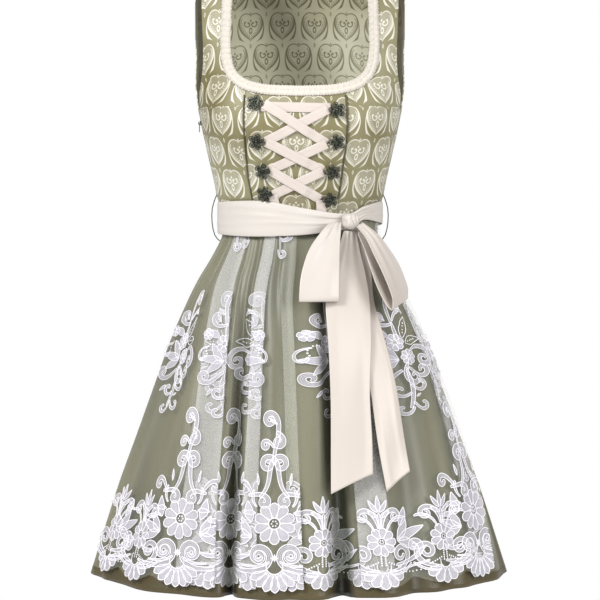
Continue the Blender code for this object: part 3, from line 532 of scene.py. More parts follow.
# %% Tints and bumps
def tint(tree, share, low, high):
    """A colour between two, by a wire's share."""
    made = node(tree, "Mix")
    made.data_type = "RGBA"
    tree.links.new(share.socket, made.inputs[0])
    for slot, colour in zip(made.inputs[6:8], (low, high)):
        if isinstance(colour, bpy.types.NodeSocket):
            tree.links.new(colour, slot)
        else:
            slot.default_value = colour
    return made.outputs[2]


def painted_fold_shade(tree, colour, dark):
    """The colour with painted shade, darker where the cloth lies deep in a fold; dark is the
    shade's colour.
    """
    depth = node(tree, "Attribute")
    depth.attribute_name = "depth"
    made = node(tree, "Mix")
    made.data_type = "RGBA"
    made.blend_type = "MULTIPLY"
    tree.links.new(depth.outputs["Fac"], made.inputs[0])
    tree.links.new(colour, made.inputs[6])
    made.inputs[7].default_value = dark
    return made.outputs[2]


def raise_bump(tree, shader, height, distance, strength=1.0):
    """Fine relief in the shader alone; what is seen as a shape is modelled."""
    bump = node(tree, "Bump", Height=height, Distance=distance, Strength=strength)
    tree.links.new(bump.outputs["Normal"], shader.inputs["Normal"])


print("finishes so far:", len(bpy.data.materials))

# %% [markdown]
# ## The figured jacquard
# The bodice is woven in two threads: ivory hearts and scrolls on an olive ground, and the
# other way round on the back. The motif is a heart of two lines with a dashed line inside,
# a pair of curls and a drop, and it repeats like bricks. One sum gives both faces. By the
# armholes the reverse lies in the shade of the dress, and that shade is painted into its colour.

# %% The hearts
PITCH = 0.0515                 # from one heart to the next
ROW = 0.0495                   # from one row of hearts to the next
RIB_WAVE = 7400.0              # the figure's ribs, as a wave over the chart
TWILL_WAVE = 4600.0            # the slanting lines of the ground
SHADED_SIDE = 0.138            # this far from the middle the reverse has painted shade


def hearts(tree, inside):
    """1 on the figure's threads, 0 on the ground, and a given part of it inside a heart.

    The numbers are shares of the pitch: x runs out from the heart's middle, y upwards.
    """
    u, v = chart_wires(tree)
    row = (v / ROW).floor()
    shift = row.by("FLOORED_MODULO", 2.0) * 0.5
    x = abs((u / PITCH + shift).fraction() - 0.5)
    y = ((v / ROW).fraction() - 0.5) * (ROW / PITCH)
    lobe = (y + 0.040 - x.root() * 0.33) * 0.92
    from_heart = (x * x * 0.88 + lobe * lobe).root() - 0.348
    flank = abs(y + 0.04).below(0.30, 0.16)
    figure = from_heart.line(0.0, flank * 0.018 + 0.013).over(from_heart.below(0.0) * inside)
    figure = figure.over(from_heart.line(-0.055, 0.009) * y.below(0.30, 0.05))
    dashes = from_heart.line(-0.102, 0.014) * y.below(0.16, 0.06)
    turns = lobe.by("ARCTAN2", x) * 30.0
    figure = figure.over(dashes * turns.sine().above(-0.1, 0.5))
    tail_y = y - 0.05
    from_tail = (x * x + tail_y * tail_y * 0.55).root() - (y * -0.05 + 0.415)
    tail = from_tail.line(0.0, y * -0.045 + 0.016) * y.below(0.30, 0.05)
    figure = figure.over(tail * (y - x * 0.5).above(-0.53, 0.02) * x.above(0.17, 0.03))
    curl_x, curl_y = x - 0.112, y - 0.110
    from_curl = (curl_x * curl_x + curl_y * curl_y).root()
    curl = from_curl.line(0.084, 0.019) * (y - x * 0.45).below(0.122, 0.02)
    bud_x, bud_y = x - 0.068, y - 0.140
    figure = figure.over(curl).over((bud_x * bud_x + bud_y * bud_y).root().below(0.036))
    tip_x, tip_y = x - 0.186, y - 0.166
    figure = figure.over((tip_x * tip_x + tip_y * tip_y).root().below(0.034))
    drop_y = (y + 0.095) / 1.9
    figure = figure.over((x * x + drop_y * drop_y).root().line(0.042, 0.015))
    crown_y = y - 0.212
    figure = figure.over((x * x * 1.8 + crown_y * crown_y).root().below(0.038))
    gem = x * 1.8 + abs(y - 0.410)
    figure = figure.over(gem.line(0.050, 0.020))
    side, leaf_y = abs(x - 0.5), abs(y - 0.395)
    return figure.over((side * 2.4 + leaf_y).line(0.058, 0.022)), u, v


print("hearts across the bust:", round(2 * FORM[6][1] / PITCH, 1))


# %% The jacquard's two faces
def jacquard(name, ground, sheen_ground, figure, sheen_figure, inside=0.22, sides=None):
    """Painted sheen: the ground and figure are both painted paler in random patches of light."""
    material, tree, shader = finish(name, 0.5, Sheen_Weight=0.25, Sheen_Roughness=0.4)
    mask, u, v = hearts(tree, inside)
    rib = (v * RIB_WAVE).sine() * 0.5 + 0.5
    twill = ((u + v) * TWILL_WAVE).sine() * 0.5 + 0.5
    # painted sheen: random patches in which both colours are painted paler
    cloud = (noise(tree, 9.0, 2.0) - 0.34).by("MULTIPLY", 3.0, clamp=True)
    colour = tint(tree, mask * (rib * 0.15 + 0.85), tint(tree, cloud, ground, sheen_ground),
                  tint(tree, cloud, figure, sheen_figure))
    # painted shade: the reverse is painted darker towards the armholes
    if sides:
        armhole_shade_share = abs(place_wire(tree, "X")).above(SHADED_SIDE, 0.030)
        colour = tint(tree, armhole_shade_share * 0.86, colour, sides)
    tree.links.new(colour, shader.inputs["Base Color"])
    tree.links.new((mask * -0.14 + 0.52).socket, shader.inputs["Roughness"])
    raise_bump(tree, shader, mask + twill * 0.18 + rib * mask * 0.3, 0.00025, 0.6)
    return material


face_jacquard = jacquard("olive and ivory jacquard", screen(106, 97, 59),
                         screen(141, 137, 103), screen(200, 195, 175), screen(226, 222, 213))
# the reverse's sides colour is the painted shade by the armholes
back_jacquard = jacquard("reverse of the jacquard", screen(148, 145, 120),
                         screen(172, 170, 147), screen(83, 77, 49), screen(97, 91, 63),
                         inside=0.05, sides=screen(54, 50, 32))
print("jacquard nodes:", len(face_jacquard.node_tree.nodes))


# %% [markdown]
# ## Satin, net, braid, cord and metal
# Satin is smooth thread laid side by side: low roughness, a soft sheen and a faint line
# across. The net is so fine that it is seen as a veil, so it is a thin white cloth that lets
# most of the light through.

# %% Satin
HEM_BAND = -0.912              # below this height the skirt's satin turns browner


def satin(name, low, high, rough, lines=5200.0, spots=5.0, sheen_streaks=11.0, hem=None):
    """Smooth woven thread between two tones, with painted sheen in long soft stripes and painted
    shade deep in the folds.
    """
    material, tree, shader = finish(name, rough, Sheen_Weight=0.15, Sheen_Roughness=0.35)
    _, v = chart_wires(tree)
    weave = (v * lines).sine() * 0.5 + 0.5
    cloud = noise(tree, spots, 2.0)
    # painted highlight: long soft stripes of painted sheen along the cloth
    sheen_streak = (noise(tree, sheen_streaks, 2.0, (1, 1, 0.16)) - 0.36).by("MULTIPLY", 3.2, clamp=True)
    colour = tint(tree, cloud * 0.3 + sheen_streak * 0.7, low, high)
    if hem:
        low_down = place_wire(tree, "Z").below(HEM_BAND, 0.05)
        colour = tint(tree, low_down * (cloud * 0.6 + 0.5), colour, hem)
    # painted shade: the satin is darker deep in the folds
    tree.links.new(painted_fold_shade(tree, colour, screen(70, 74, 56)), shader.inputs["Base Color"])
    slub = noise(tree, 60.0, 2.0, (1, 1, 12))
    raise_bump(tree, shader, weave * 0.4 + slub * 0.8, 0.00012, 0.5)
    return material


olive_satin = satin("shot olive satin", screen(64, 60, 36), screen(115, 111, 76), 0.42,
                    sheen_streaks=7.0, hem=screen(74, 62, 33))
ivory_satin = satin("ivory satin", screen(190, 179, 169), screen(207, 203, 198), 0.36,
                    sheen_streaks=5.0)
ribbon_satin = satin("lacing ribbon satin", screen(198, 186, 178), screen(211, 202, 194), 0.4)
print("satins:", olive_satin.name, ivory_satin.name, ribbon_satin.name)


# %% Net and embroidery thread
def netting(name, low, high, alpha):
    """Fine net, seen as a veil over what lies below, with painted shade deep in the folds."""
    material, tree, shader = finish(name, 0.8, Alpha=alpha)
    colour = painted_fold_shade(tree, tint(tree, noise(tree, 260.0, 2.0), low, high), screen(110, 112, 94))
    tree.links.new(colour, shader.inputs["Base Color"])
    raise_bump(tree, shader, noise(tree, 900.0, 1.0), 0.0002, 0.4)
    return material


net = netting("apron net", screen(218, 220, 206), screen(234, 236, 226), 0.11)
doubled_net = netting("doubled net", screen(220, 218, 220), screen(236, 234, 238), 0.30)


def stitching(name, low, high, rough, alpha=1.0, grain=1300.0):
    """White embroidery thread, with painted shade that greys it in the folds."""
    material, tree, shader = finish(name, rough, Alpha=alpha, Sheen_Weight=0.3)
    twist = noise(tree, grain, 2.0, (1, 1, 0.5))
    colour = painted_fold_shade(tree, tint(tree, twist, low, high), screen(128, 132, 122))
    tree.links.new(colour, shader.inputs["Base Color"])
    raise_bump(tree, shader, twist, 0.0003, 0.5)
    return material


cord = stitching("white cord", screen(224, 221, 228), screen(240, 238, 243), 0.62)
thread = stitching("stitched rows", screen(204, 201, 210), screen(222, 219, 227), 0.7)
filling = stitching("stitched filling", screen(176, 173, 180), screen(212, 209, 217), 0.75,
                    alpha=0.50, grain=800.0)
petals = stitching("close stitched petals", screen(180, 177, 186), screen(214, 211, 220), 0.75,
                   alpha=0.70, grain=800.0)
print("threads:", cord.name, thread.name, filling.name, petals.name)

# %% Braid, cord, metal and floor
braid, tree, shader = finish("ivory braid", 0.68, Sheen_Weight=0.3)
u, v = chart_wires(tree)
crimp = (u * 2600.0 + (v * 900.0).sine()).sine() * 0.5 + 0.5
# painted shade: the braid is darker in the grooves of its crimp, where the bump dips
tree.links.new(tint(tree, crimp, screen(191, 182, 170), screen(215, 209, 199)),
               shader.inputs["Base Color"])
raise_bump(tree, shader, crimp, 0.0003, 0.6)

piping_satin, tree, shader = finish("dark olive piping", 0.5)
tree.links.new(tint(tree, noise(tree, 1500.0), screen(67, 64, 41), screen(96, 92, 63)),
               shader.inputs["Base Color"])

dark_metal, tree, shader = finish("blackened metal", 0.38, Metallic=0.8)
# partly wear of the blackening, partly painted glints: random lighter specks
wear_and_glints = noise(tree, 420.0, 4.0)
tree.links.new(tint(tree, wear_and_glints.above(0.56, 0.2), screen(43, 46, 39), screen(104, 107, 96)),
               shader.inputs["Base Color"])
raise_bump(tree, shader, wear_and_glints, 0.0002, 0.5)

green_thread, tree, shader = finish("green thread", 0.7)
tree.links.new(tint(tree, noise(tree, 900.0), screen(48, 56, 41), screen(85, 92, 72)),
               shader.inputs["Base Color"])

zip_metal, tree, shader = finish("grey zip metal", 0.34, Metallic=0.9)
brushed = noise(tree, 300.0, 3.0, (1, 1, 9))
tree.links.new(tint(tree, brushed, screen(89, 91, 89), screen(139, 141, 137)),
               shader.inputs["Base Color"])
raise_bump(tree, shader, brushed, 0.0001, 0.4)

floor_paint, tree, shader = finish("pale floor", 0.9)
tree.links.new(tint(tree, noise(tree, 3.0), screen(240, 240, 238), screen(248, 248, 247)),
               shader.inputs["Base Color"])
floor.data.materials.append(floor_paint)
print("finishes:", len(bpy.data.materials))

# %% [markdown]
# ## The bodice
# Four figured panels. The middle one runs between the princess seams, the two side fronts
# take in the side of the bust and go up over the shoulder as straps, and the back closes
# the round. A wall of 1.5 mm is the jacquard with its backing.

# %% Middle panel and armholes
WAIST_TUCK = 0.001             # the bodice ends this much above the waist seam


def front_middle(rows=110, columns=70):
    """The net of the middle panel, from the waist up to the neckline."""
    s = np.linspace(0, 1, columns)[None, :]
    ends = between(PRINCESS, NECK_BOTTOM[3][1])
    top = neck_height(mix(ends[0] + SEAM / 2, ends[1] - SEAM / 2, s))
    height = mix(WAIST + WAIST_TUCK, top, np.linspace(0, 1, rows)[:, None])
    seams = between(PRINCESS, height)
    across = mix(seams[..., 0] + SEAM / 2, seams[..., 1] - SEAM / 2, s)
    return on_front(across, height)


def armhole_angle(height, column, foot_shape):
    """The armhole's edge as an angle from the centre front, round at its foot."""
    top = ARMHOLE_ROUND
    edge = np.where(column == 0, 1, -1) * angle_at(between(ARMHOLE, height)[..., column], height)
    edge = np.where(column == 0, edge, 180 + edge)
    at_top = angle_at(between(ARMHOLE, top)[..., column], top)
    at_top = at_top if column == 0 else 180 - at_top
    share = np.clip((height - ARMHOLE_FOOT) / (top - ARMHOLE_FOOT), 0, 1)
    foot = mix(SIDE_SEAM, at_top, share ** foot_shape)
    return np.where(height < top, foot, edge)


print("armhole's foot at", ARMHOLE_FOOT, "and", float(armhole_angle(ARMHOLE_FOOT, 0, 0.5)))


# %% Side and back panels
def even_heights(start, end, edges, rows):
    """Heights whose rows are evenly apart along the edges of a panel."""
    fine = np.linspace(start, end, 3000)
    return mix(start, end, evenly(sum(run_along(edge(fine)) for edge in edges), rows))


def side_front(side, rows=170, columns=44):
    """The net of a side panel and its strap, up to the shoulder seam."""
    column = 0 if side < 0 else 1
    start = float(neck_height(abs(between(PRINCESS, -0.2)[column])))

    def inner_angle(height):
        inner = abs(between(PRINCESS, height)[..., column]) + SEAM / 2
        neck = between(NECK, height)[..., 0]
        return angle_at(np.where(height > start, np.maximum(inner, neck), inner), height)

    def outer_angle(height):
        return np.minimum(SIDE_SEAM - SEAM_ANGLE, armhole_angle(height, 0, 0.47))

    edges = [lambda h: on_body(inner_angle(h), h), lambda h: on_body(outer_angle(h), h)]
    height = even_heights(WAIST + WAIST_TUCK, SHOULDER_SEAM, edges, rows)[:, None]
    s = np.linspace(0, 1, columns)[None, :]
    share = s if side > 0 else 1 - s
    return on_body(side * mix(inner_angle(height), outer_angle(height), share), height)


def back_panel(rows=124, strap=12, middle=66):
    """The net of the back, and which of its points are cloth."""
    neck_row = float(back_neck_height(BACK_NECK_WIDE))
    corner = [(neck_row, BACK_NECK_WIDE), (-0.045, 0.0970), (-0.030, BACK_STRAP_INNER),
              (SHOULDER_SEAM, BACK_STRAP_INNER)]

    def edge_angle(height):
        return np.maximum(SIDE_SEAM + SEAM_ANGLE, armhole_angle(height, 1, 0.34))

    edges = [lambda h: on_body(edge_angle(h), h, back=True)]
    low = even_heights(WAIST + WAIST_TUCK, neck_row, edges, rows)
    high = np.linspace(neck_row, SHOULDER_SEAM, 30)[1:]
    height = np.concatenate([low, high])[:, None]
    inner = 180 - angle_at(between(corner, height)[..., 0], height)
    edge = edge_angle(height)
    s = np.linspace(0, 1, strap)[None, :-1]
    left = mix(edge, inner, s)
    centre = mix(inner, 360 - inner, np.linspace(0, 1, middle)[None, :])
    right = mix(360 - inner, 360 - edge, np.linspace(0, 1, strap)[None, 1:])
    angle = np.concatenate([left, centre, right], axis=1)
    height = np.broadcast_to(height, angle.shape).copy()
    mid = slice(strap - 1, strap - 1 + middle)
    across = bare_body(angle[rows - 1, mid], neck_row, True)[..., 0]
    level = back_neck_height(across)
    pull = smooth(-0.20, neck_row, height[:rows, mid])
    height[:rows, mid] += pull * (level - neck_row)[None, :]
    keep = np.ones(angle.shape, dtype=bool)
    keep[rows:, strap:strap - 2 + middle] = False
    return on_body(angle, height, back=True), keep


print("neckline's lowest place:", round(float(neck_height(0.0)), 4))


# %% Bodice cloth
def chart_from(points, origin, turn=0.0):
    """A panel's chart, moved so the pattern meets the next panel, and turned a little."""
    chart = chart_of(points)
    base = chart[0, points.shape[1] // 2]
    u, v = chart[..., 0] - base[0], chart[..., 1] - base[1]
    c, s = math.cos(math.radians(turn)), math.sin(math.radians(turn))
    return stack(u * c - v * s + origin[0], u * s + v * c + origin[1])


middle_points = front_middle()
bodice_middle = cloth("bodice_front_middle", middle_points, WALL_BODICE, face_jacquard,
                      back_jacquard, chart_from(middle_points, (0.0258, 0.012)))
bodice_sides = []
for side, turn in ((-1, 4.0), (1, -4.0)):
    points = side_front(side)
    bodice_sides.append(cloth(f"bodice_side_{'left' if side < 0 else 'right'}", points,
                              WALL_BODICE, face_jacquard, back_jacquard,
                              chart_from(points, (0.010 * side, 0.020), turn)))
back_points, back_keep = back_panel()
bodice_back = cloth("bodice_back_panel", back_points, WALL_BODICE, face_jacquard,
                    back_jacquard, chart_from(back_points, (0.0, 0.015)), keep=back_keep)
print("bodice points:", sum(len(o.data.vertices) for o in (bodice_middle, *bodice_sides)))

# %% [markdown]
# ## The skirt
# A gathered satin skirt in two panels. Each fold is a line with an angle at the waist, at a
# third of the way down and at the hem, and a dip that deepens towards the hem. Between two
# fold lines the cloth swings over smoothly, and near the waist it puckers into small gathers.

# %% Skirt sizes
GATHER_RISE = 0.0012           # height of the gathers at the waist
FINE_GATHER = 0.0009           # height of the small creases between them
SWELL = 0.0055                 # how far the cloth sways in between two folds
SEAM_DIP = 0.0007              # a side seam pulls the cloth in by this much
CALM_LINES = 1.5               # fold lines from a side seam to the first free crease
RIDGE_RISE = 0.0030            # how far the cloth stands up between two fold lines
THIRD = 0.35                   # share of the length at which a fold has its middle angle
SKIRT_TOP = WAIST - 0.0005     # the skirt starts just below the waist seam
SKIRT_FORM = (
    # share of the length, half width, front depth, back depth, middle across
    (0.000, 0.1185, 0.0920, 0.0840, 0.0000),
    (0.045, 0.1178, 0.0925, 0.0850, 0.0000),
    (0.070, 0.1230, 0.0965, 0.0880, 0.0000),
    (0.120, 0.1370, 0.1080, 0.0990, -0.0010),
    (0.170, 0.1510, 0.1190, 0.1110, -0.0040),
    (0.230, 0.1658, 0.1300, 0.1240, -0.0060),
    (0.340, 0.1940, 0.1490, 0.1450, -0.0045),
    (0.510, 0.2295, 0.1720, 0.1700, -0.0030),
    (0.620, 0.2518, 0.1865, 0.1860, -0.0025),
    (0.750, 0.2785, 0.2030, 0.2030, -0.0020),
    (1.000, 0.3225, 0.2330, 0.2330, -0.0020),
)
FRONT_FOLDS = (
    # fold line, angle at the waist, at a third of the length, at the hem, dip at the hem,
    # plain lines up to the next one
    ("seam_left", -90.0, -90.0, -90.0, 0.000, 1),
    ("apron_left", -86.5, -86.0, -78.0, 0.000, 2),
    ("soft_left", -63.0, -60.0, -65.0, 0.008, 3),
    ("first_turn", -57.0, -44.0, -34.0, 0.000, 1),
    ("first_edge", -43.0, -30.5, -21.7, 0.004, 1),
    ("left_recess", -35.0, -25.0, -18.6, 0.028, 1),
    ("second_edge", -27.0, -20.0, -15.5, 0.004, 0),
    ("second_turn", -18.0, -14.5, -10.8, 0.000, 1),
    ("third_turn", -11.6, -6.0, -2.5, 0.000, 0),
    ("third_edge", -2.7, -1.0, 1.5, 0.000, 0),
    ("middle", 12.3, 8.2, 6.5, 0.004, 1),
    ("right_recess", 23.0, 15.0, 12.5, 0.028, 1),
    ("fourth_edge", 29.0, 19.5, 16.4, 0.004, 1),
    ("fourth_turn", 36.5, 29.0, 26.2, 0.000, 0),
    ("soft_right", 51.0, 39.5, 32.5, 0.010, 4),
    ("fifth_edge", 70.0, 69.0, 54.2, 0.006, 1),
    ("fifth_turn", 83.0, 83.0, 65.0, 0.000, 0),
    ("apron_right", 86.5, 86.0, 71.0, 0.000, 2),
    ("seam_right", 90.0, 90.0, 90.0, 0.000, 0),
)
BACK_FOLDS = (
    # fold line, angle at the waist, at a third of the length, at the hem, dip at the hem,
    # plain lines up to the next one
    ("seam_right", 90.0, 90.0, 90.0, 0.000, 2),
    ("back_1", 112.0, 112.0, 109.0, 0.020, 3),
    ("back_2", 134.0, 137.0, 138.0, 0.012, 3),
    ("back_3", 157.0, 158.0, 160.0, 0.026, 3),
    ("back_4", 182.0, 181.0, 183.0, 0.014, 3),
    ("back_5", 205.0, 203.0, 200.0, 0.026, 3),
    ("back_6", 230.0, 226.0, 225.0, 0.012, 3),
    ("back_7", 249.0, 250.0, 251.0, 0.020, 2),
    ("seam_left", 270.0, 270.0, 270.0, 0.000, 0),
)
print("half width at the hem:", SKIRT_FORM[-1][1], "folds:", len(FRONT_FOLDS), len(BACK_FOLDS))


# %% Fold lines
def fold_lines(table):
    """All lines of a skirt half as rows: number, angle at waist, third and hem, dip."""
    lines, names = [], {}
    for row, nxt in zip(table, table[1:]):
        name, *angles, dip, extra = row
        names[name] = len(lines)
        lines.append((len(lines), *angles, dip))
        wide = min(1.0, abs(nxt[3] - row[3]) / 20.0)
        for k in range(1, extra + 1):
            share = k / (extra + 1)
            soft = (1 - math.cos(math.pi * share)) / 2
            rise = RIDGE_RISE * math.sin(math.pi * share) * wide
            lines.append((len(lines), *(mix(a, b, share) for a, b in zip(angles, nxt[1:4])),
                          mix(dip, nxt[4], soft) - rise))
    names[table[-1][0]] = len(lines)
    lines.append((len(lines), *table[-1][1:4], table[-1][4]))
    return lines, names


FRONT_LINES, LINE = fold_lines(FRONT_FOLDS)
BACK_LINES, _ = fold_lines(BACK_FOLDS)
print("skirt lines:", len(FRONT_LINES), len(BACK_LINES))

# %% The skirt's surface
# share of the length, how strong the gathers are there
PUCKER = ((0.0, 0.3), (0.08, 1.0), (0.20, 0.5), (0.45, 0.0), (1.0, 0.0))


def on_skirt(lines, number, share, lift=0.0):
    """A point between fold lines at a share of the skirt's length, moved level outwards."""
    number, share = np.broadcast_arrays(np.asarray(number, float), np.asarray(share, float))
    half_width, front, back, middle = np.moveaxis(between(SKIRT_FORM, share), -1, 0)
    waist, third, hem, dip = np.moveaxis(between(lines, number), -1, 0)
    high = np.clip(share / THIRD, 0, 1)
    low = np.clip((share - THIRD) / (1 - THIRD), 0, 1)
    step_up, step_down = (third - waist) / THIRD, (hem - third) / (1 - THIRD)
    bend = np.where(step_up * step_down > 0, hem - waist, 0.0)
    bend = np.clip(bend, -3 * np.minimum(abs(step_up), abs(step_down)),
                   3 * np.minimum(abs(step_up), abs(step_down)))
    upper = hermite(high, waist, third, step_up * THIRD, bend * THIRD)
    lower = hermite(low, third, hem, bend * (1 - THIRD), step_down * (1 - THIRD))
    angle = np.where(share < THIRD, upper, lower)
    pucker = GATHER_RISE * np.cos(np.pi * number) * between(PUCKER, share)[..., 0]
    from_seam = np.minimum(number, len(lines) - 1 - number)
    inside = smooth(0.0, CALM_LINES, from_seam)
    fine = FINE_GATHER * np.sin(np.pi * number * 1.6 + 1.4 * np.sin(number * 1.7)) * inside
    fine = fine * smooth(0.55, 0.12, share) * smooth(0.0, 0.09, share)
    wave = np.sin(number * 2.1 + share * 1.2) * inside
    swell = -SWELL * (0.5 + 0.5 * wave) * smooth(0.05, 0.5, share)
    seam = -SEAM_DIP * smooth(0.12, 0.0, from_seam)
    out = lift - dip * share ** 1.1 + pucker + fine + swell + seam
    x, y = ring_point(angle, half_width, front, back, 2.0)
    normal = unit(stack(x / half_width ** 2, y / np.where(y < 0, front, back) ** 2, 0.0))
    return stack(middle + x, y, mix(SKIRT_TOP, HEM, share)) + normal * out[..., None]


def fold_depth(lines, number, share):
    """How deep in a fold a point lies, from 0 to 1."""
    number, share = np.broadcast_arrays(np.asarray(number, float), np.asarray(share, float))
    dip = between(lines, number)[..., 3]
    return np.clip((dip - 0.005) / 0.014, 0, 1) * smooth(0.05, 0.70, share)


print("front of the skirt's hem:", np.round(on_skirt(FRONT_LINES, LINE["middle"], 1.0), 4))


# %% Skirt panels
def skirt_panel(lines, rows=80, fine=6):
    """The net of a panel, and how deep in a fold each of its points lies."""
    number = np.linspace(0, len(lines) - 1, (len(lines) - 1) * fine + 1)
    share = np.linspace(1, 0, rows)[:, None]
    return on_skirt(lines, number[None, :], share), fold_depth(lines, number[None, :], share)


skirt_pieces = []
for name, lines in (("skirt_front_panel", FRONT_LINES), ("skirt_back_panel", BACK_LINES)):
    points, depth = skirt_panel(lines)
    skirt_pieces.append(cloth(name, points, WALL_SKIRT, olive_satin, depth=depth))


STITCH_ROW = np.array([0.0095, 0.0105])   # the row's edges, above the skirt's lower edge


def hem_stitches(name, lines, run=3):
    """A row of stitches 1 cm above the skirt's lower edge: runs of thread with gaps."""
    number = np.linspace(0.05, len(lines) - 1.05, len(lines) * 24)
    share = 1 - STITCH_ROW[:, None] / (WAIST - HEM)
    points = on_skirt(lines, number[None, ::-1], share, WALL_SKIRT + SEAM)
    faces = quads(*points.shape[:2])
    faces = faces[(np.arange(len(faces)) // run) % 2 == 0]
    used, faces = np.unique(faces, return_inverse=True)
    return mesh_piece(name, points.reshape(-1, 3)[used], faces.reshape(-1, 4).tolist(),
                      [green_thread])


hem_rows = [hem_stitches("hem_stitches_front", FRONT_LINES),
            hem_stitches("hem_stitches_back", BACK_LINES)]
print("skirt points:", [len(o.data.vertices) for o in skirt_pieces])

# %% [markdown]
# ## The apron
# A width of net gathered into the sash. It follows the skirt's fold lines and doubles back
# on itself at its own folds, so three layers lie over each other there and look whiter. At
# the third fold they lie too loosely for that, so it keeps the plain net.

# %% The apron's way round the skirt
APRON_TOP = 0.004              # share of the skirt's length where the net starts
APRON_DROP = 0.962             # and where it ends, without its scallops
SCALLOP = 0.0120               # depth of a scallop
APRON_PATH = (
    # from this fold line, to this one, layer at the start, layer at the end
    ("apron_left", "soft_left", 0, 2),
    ("soft_left", "first_edge", 2, 2),
    ("first_edge", "first_turn", 1, 1),
    ("first_turn", "second_turn", 0, 0),
    ("second_turn", "second_edge", 1, 1),
    ("second_edge", "third_edge", 2, 2),
    ("third_edge", "third_turn", 1, 1),
    ("third_turn", "fourth_turn", 0, 0),
    ("fourth_turn", "fourth_edge", 1, 1),
    ("fourth_edge", "fifth_turn", 2, 2),
    ("fifth_turn", "fifth_edge", 1, 1),
    ("fifth_edge", "apron_right", 0, 0),
)
LAYER_LIFT = (
    # share of the length, lift of the innermost layer, step from one layer to the next
    (0.000, 0.0027, 0.0018),
    (0.060, 0.0027, 0.0018),
    (0.160, 0.0055, 0.0030),
    (1.000, 0.0055, 0.0030),
)


def apron_stations():
    """The lines that the apron follows from left to right, and its layer at each."""
    stations = []
    for start, end, layer, layer_after in APRON_PATH:
        first, last = LINE[start], LINE[end]
        step = 1 if last > first else -1
        for k in range(first, last + step, step):
            here = (k, mix(layer, layer_after, (k - first) / (last - first)))
            if here not in stations[-1:]:
                stations.append(here)
    return [(i, *here) for i, here in enumerate(stations)]


def on_apron(place, share, lift=0.0):
    """A point of the apron by its place along the stations and its share of the length."""
    place, share = np.broadcast_arrays(np.asarray(place, float), np.asarray(share, float))
    number, layer = np.moveaxis(between(STATIONS, place), -1, 0)
    base, step = np.moveaxis(between(LAYER_LIFT, share), -1, 0)
    return on_skirt(FRONT_LINES, number, share, base + step * layer + lift)


def apron_depth(place, share):
    """The apron's depth in the folds, for painted shade: its outer layers bridge them in the
    light.
    """
    place, share = np.broadcast_arrays(np.asarray(place, float), np.asarray(share, float))
    number, layer = np.moveaxis(between(STATIONS, place), -1, 0)
    return fold_depth(FRONT_LINES, number, share) * np.clip(1 - layer / 2, 0, 1)


STATIONS = apron_stations()
APRON_COLUMNS = (len(STATIONS) - 1) * 8 + 1
APRON_ROWS = 104
RUN_LEVEL = 0.96               # the flat width is measured along this share of the length
apron_place = np.linspace(0, len(STATIONS) - 1, APRON_COLUMNS)
apron_run = run_along(on_apron(apron_place, RUN_LEVEL))
print("apron: width in the flat", round(float(apron_run[-1]), 3), "stations", len(STATIONS))

# %% Where the lace figures stand
FIGURES = (
    # figure, place along the hem, height above it, stretch across, way round
    ("sprig", 0.045, 0.0, 1.05, 1),
    ("sprig", 0.126, 0.0, 1.05, 1),
    ("tree", 0.208, 0.0, 1.10, 1),
    ("shell", 0.285, 0.0, 1.05, 1),
    ("shell", 0.360, 0.0, 1.05, 1),
    ("tree", 0.435, 0.0, 1.10, 1),
    ("shell", 0.510, 0.0, 1.05, 1),
    ("tree", 0.582, 0.0, 1.10, 1),
    ("shell", 0.645, 0.0, 1.05, 1),
    ("sprig", 0.707, 0.0, 1.05, 1),
    ("shell", 0.785, 0.0, 1.05, 1),
    ("shell", 0.855, 0.0, 1.05, 1),
    ("sprig", 0.925, 0.0, 1.10, 1),
    ("sprig", 1.035, 0.0, 1.15, 1),
    ("tree", 1.110, 0.0, 1.10, 1),
    ("shell", 1.190, 0.0, 1.05, 1),
    ("link", 0.084, 0.002, 1.05, 1),
    ("link", 0.750, 0.002, 1.15, 1),
    ("link", 0.980, 0.002, 1.15, 1),
    ("bouquet", 0.080, 0.245, 1.55, 1),
    ("bouquet", 0.268, 0.245, 1.55, 1),
    ("bouquet", 0.496, 0.245, 1.55, -1),
    ("bouquet", 0.742, 0.245, 1.55, 1),
    ("bouquet", 1.012, 0.245, 1.55, 1),
    ("bouquet", 1.205, 0.245, 1.55, -1),
    ("tip", 0.225, 0.500, 1.90, 1),
    ("tip", 0.420, 0.505, 1.60, -1),
    ("tip", 0.572, 0.490, 1.90, 1),
)
units = [row[1] for row in FIGURES if row[2] == 0.0]
print("figures:", len(FIGURES), "of them at the hem:", len(units))

# %% Apron net
phase = np.interp(apron_run, units, range(len(units)))
wave = abs(np.cos(np.pi * phase))
hem_share = APRON_DROP + SCALLOP * (wave - 0.5) / (WAIST - HEM)
down = np.linspace(1, 0, APRON_ROWS)[:, None]
apron_share = mix(APRON_TOP, hem_share[None, :], down)
apron_points = on_apron(apron_place[None, :], apron_share)
apron_net = cloth("apron_net", apron_points, 0, net,
                  depth=apron_depth(apron_place[None, :], apron_share))
line_at, layer_at = between(STATIONS, (apron_place[1:] + apron_place[:-1]) / 2).T
loose = (line_at > LINE["third_turn"]) & (line_at < LINE["third_edge"])
doubled = (abs(layer_at - 1) < 0.02) & ~loose
apron_net.data.materials.append(doubled_net)
apron_net.data.polygons.foreach_set(
    "material_index", np.tile(doubled, APRON_ROWS - 1).astype(np.int32))
print("apron faces:", len(apron_net.data.polygons), "doubled columns:", int(doubled.sum()))

# %% [markdown]
# ## The lace on the apron
# The net is embroidered with a traditional corded lace: scroll trees on daisies, smaller
# daisies with sprigs, shells along the hem and sprays above. Each shape is drawn flat, as a
# curve that is walked with a changing turn and a width, then laid on the folded net: a thin
# stitched filling with a raised cord round its edge.


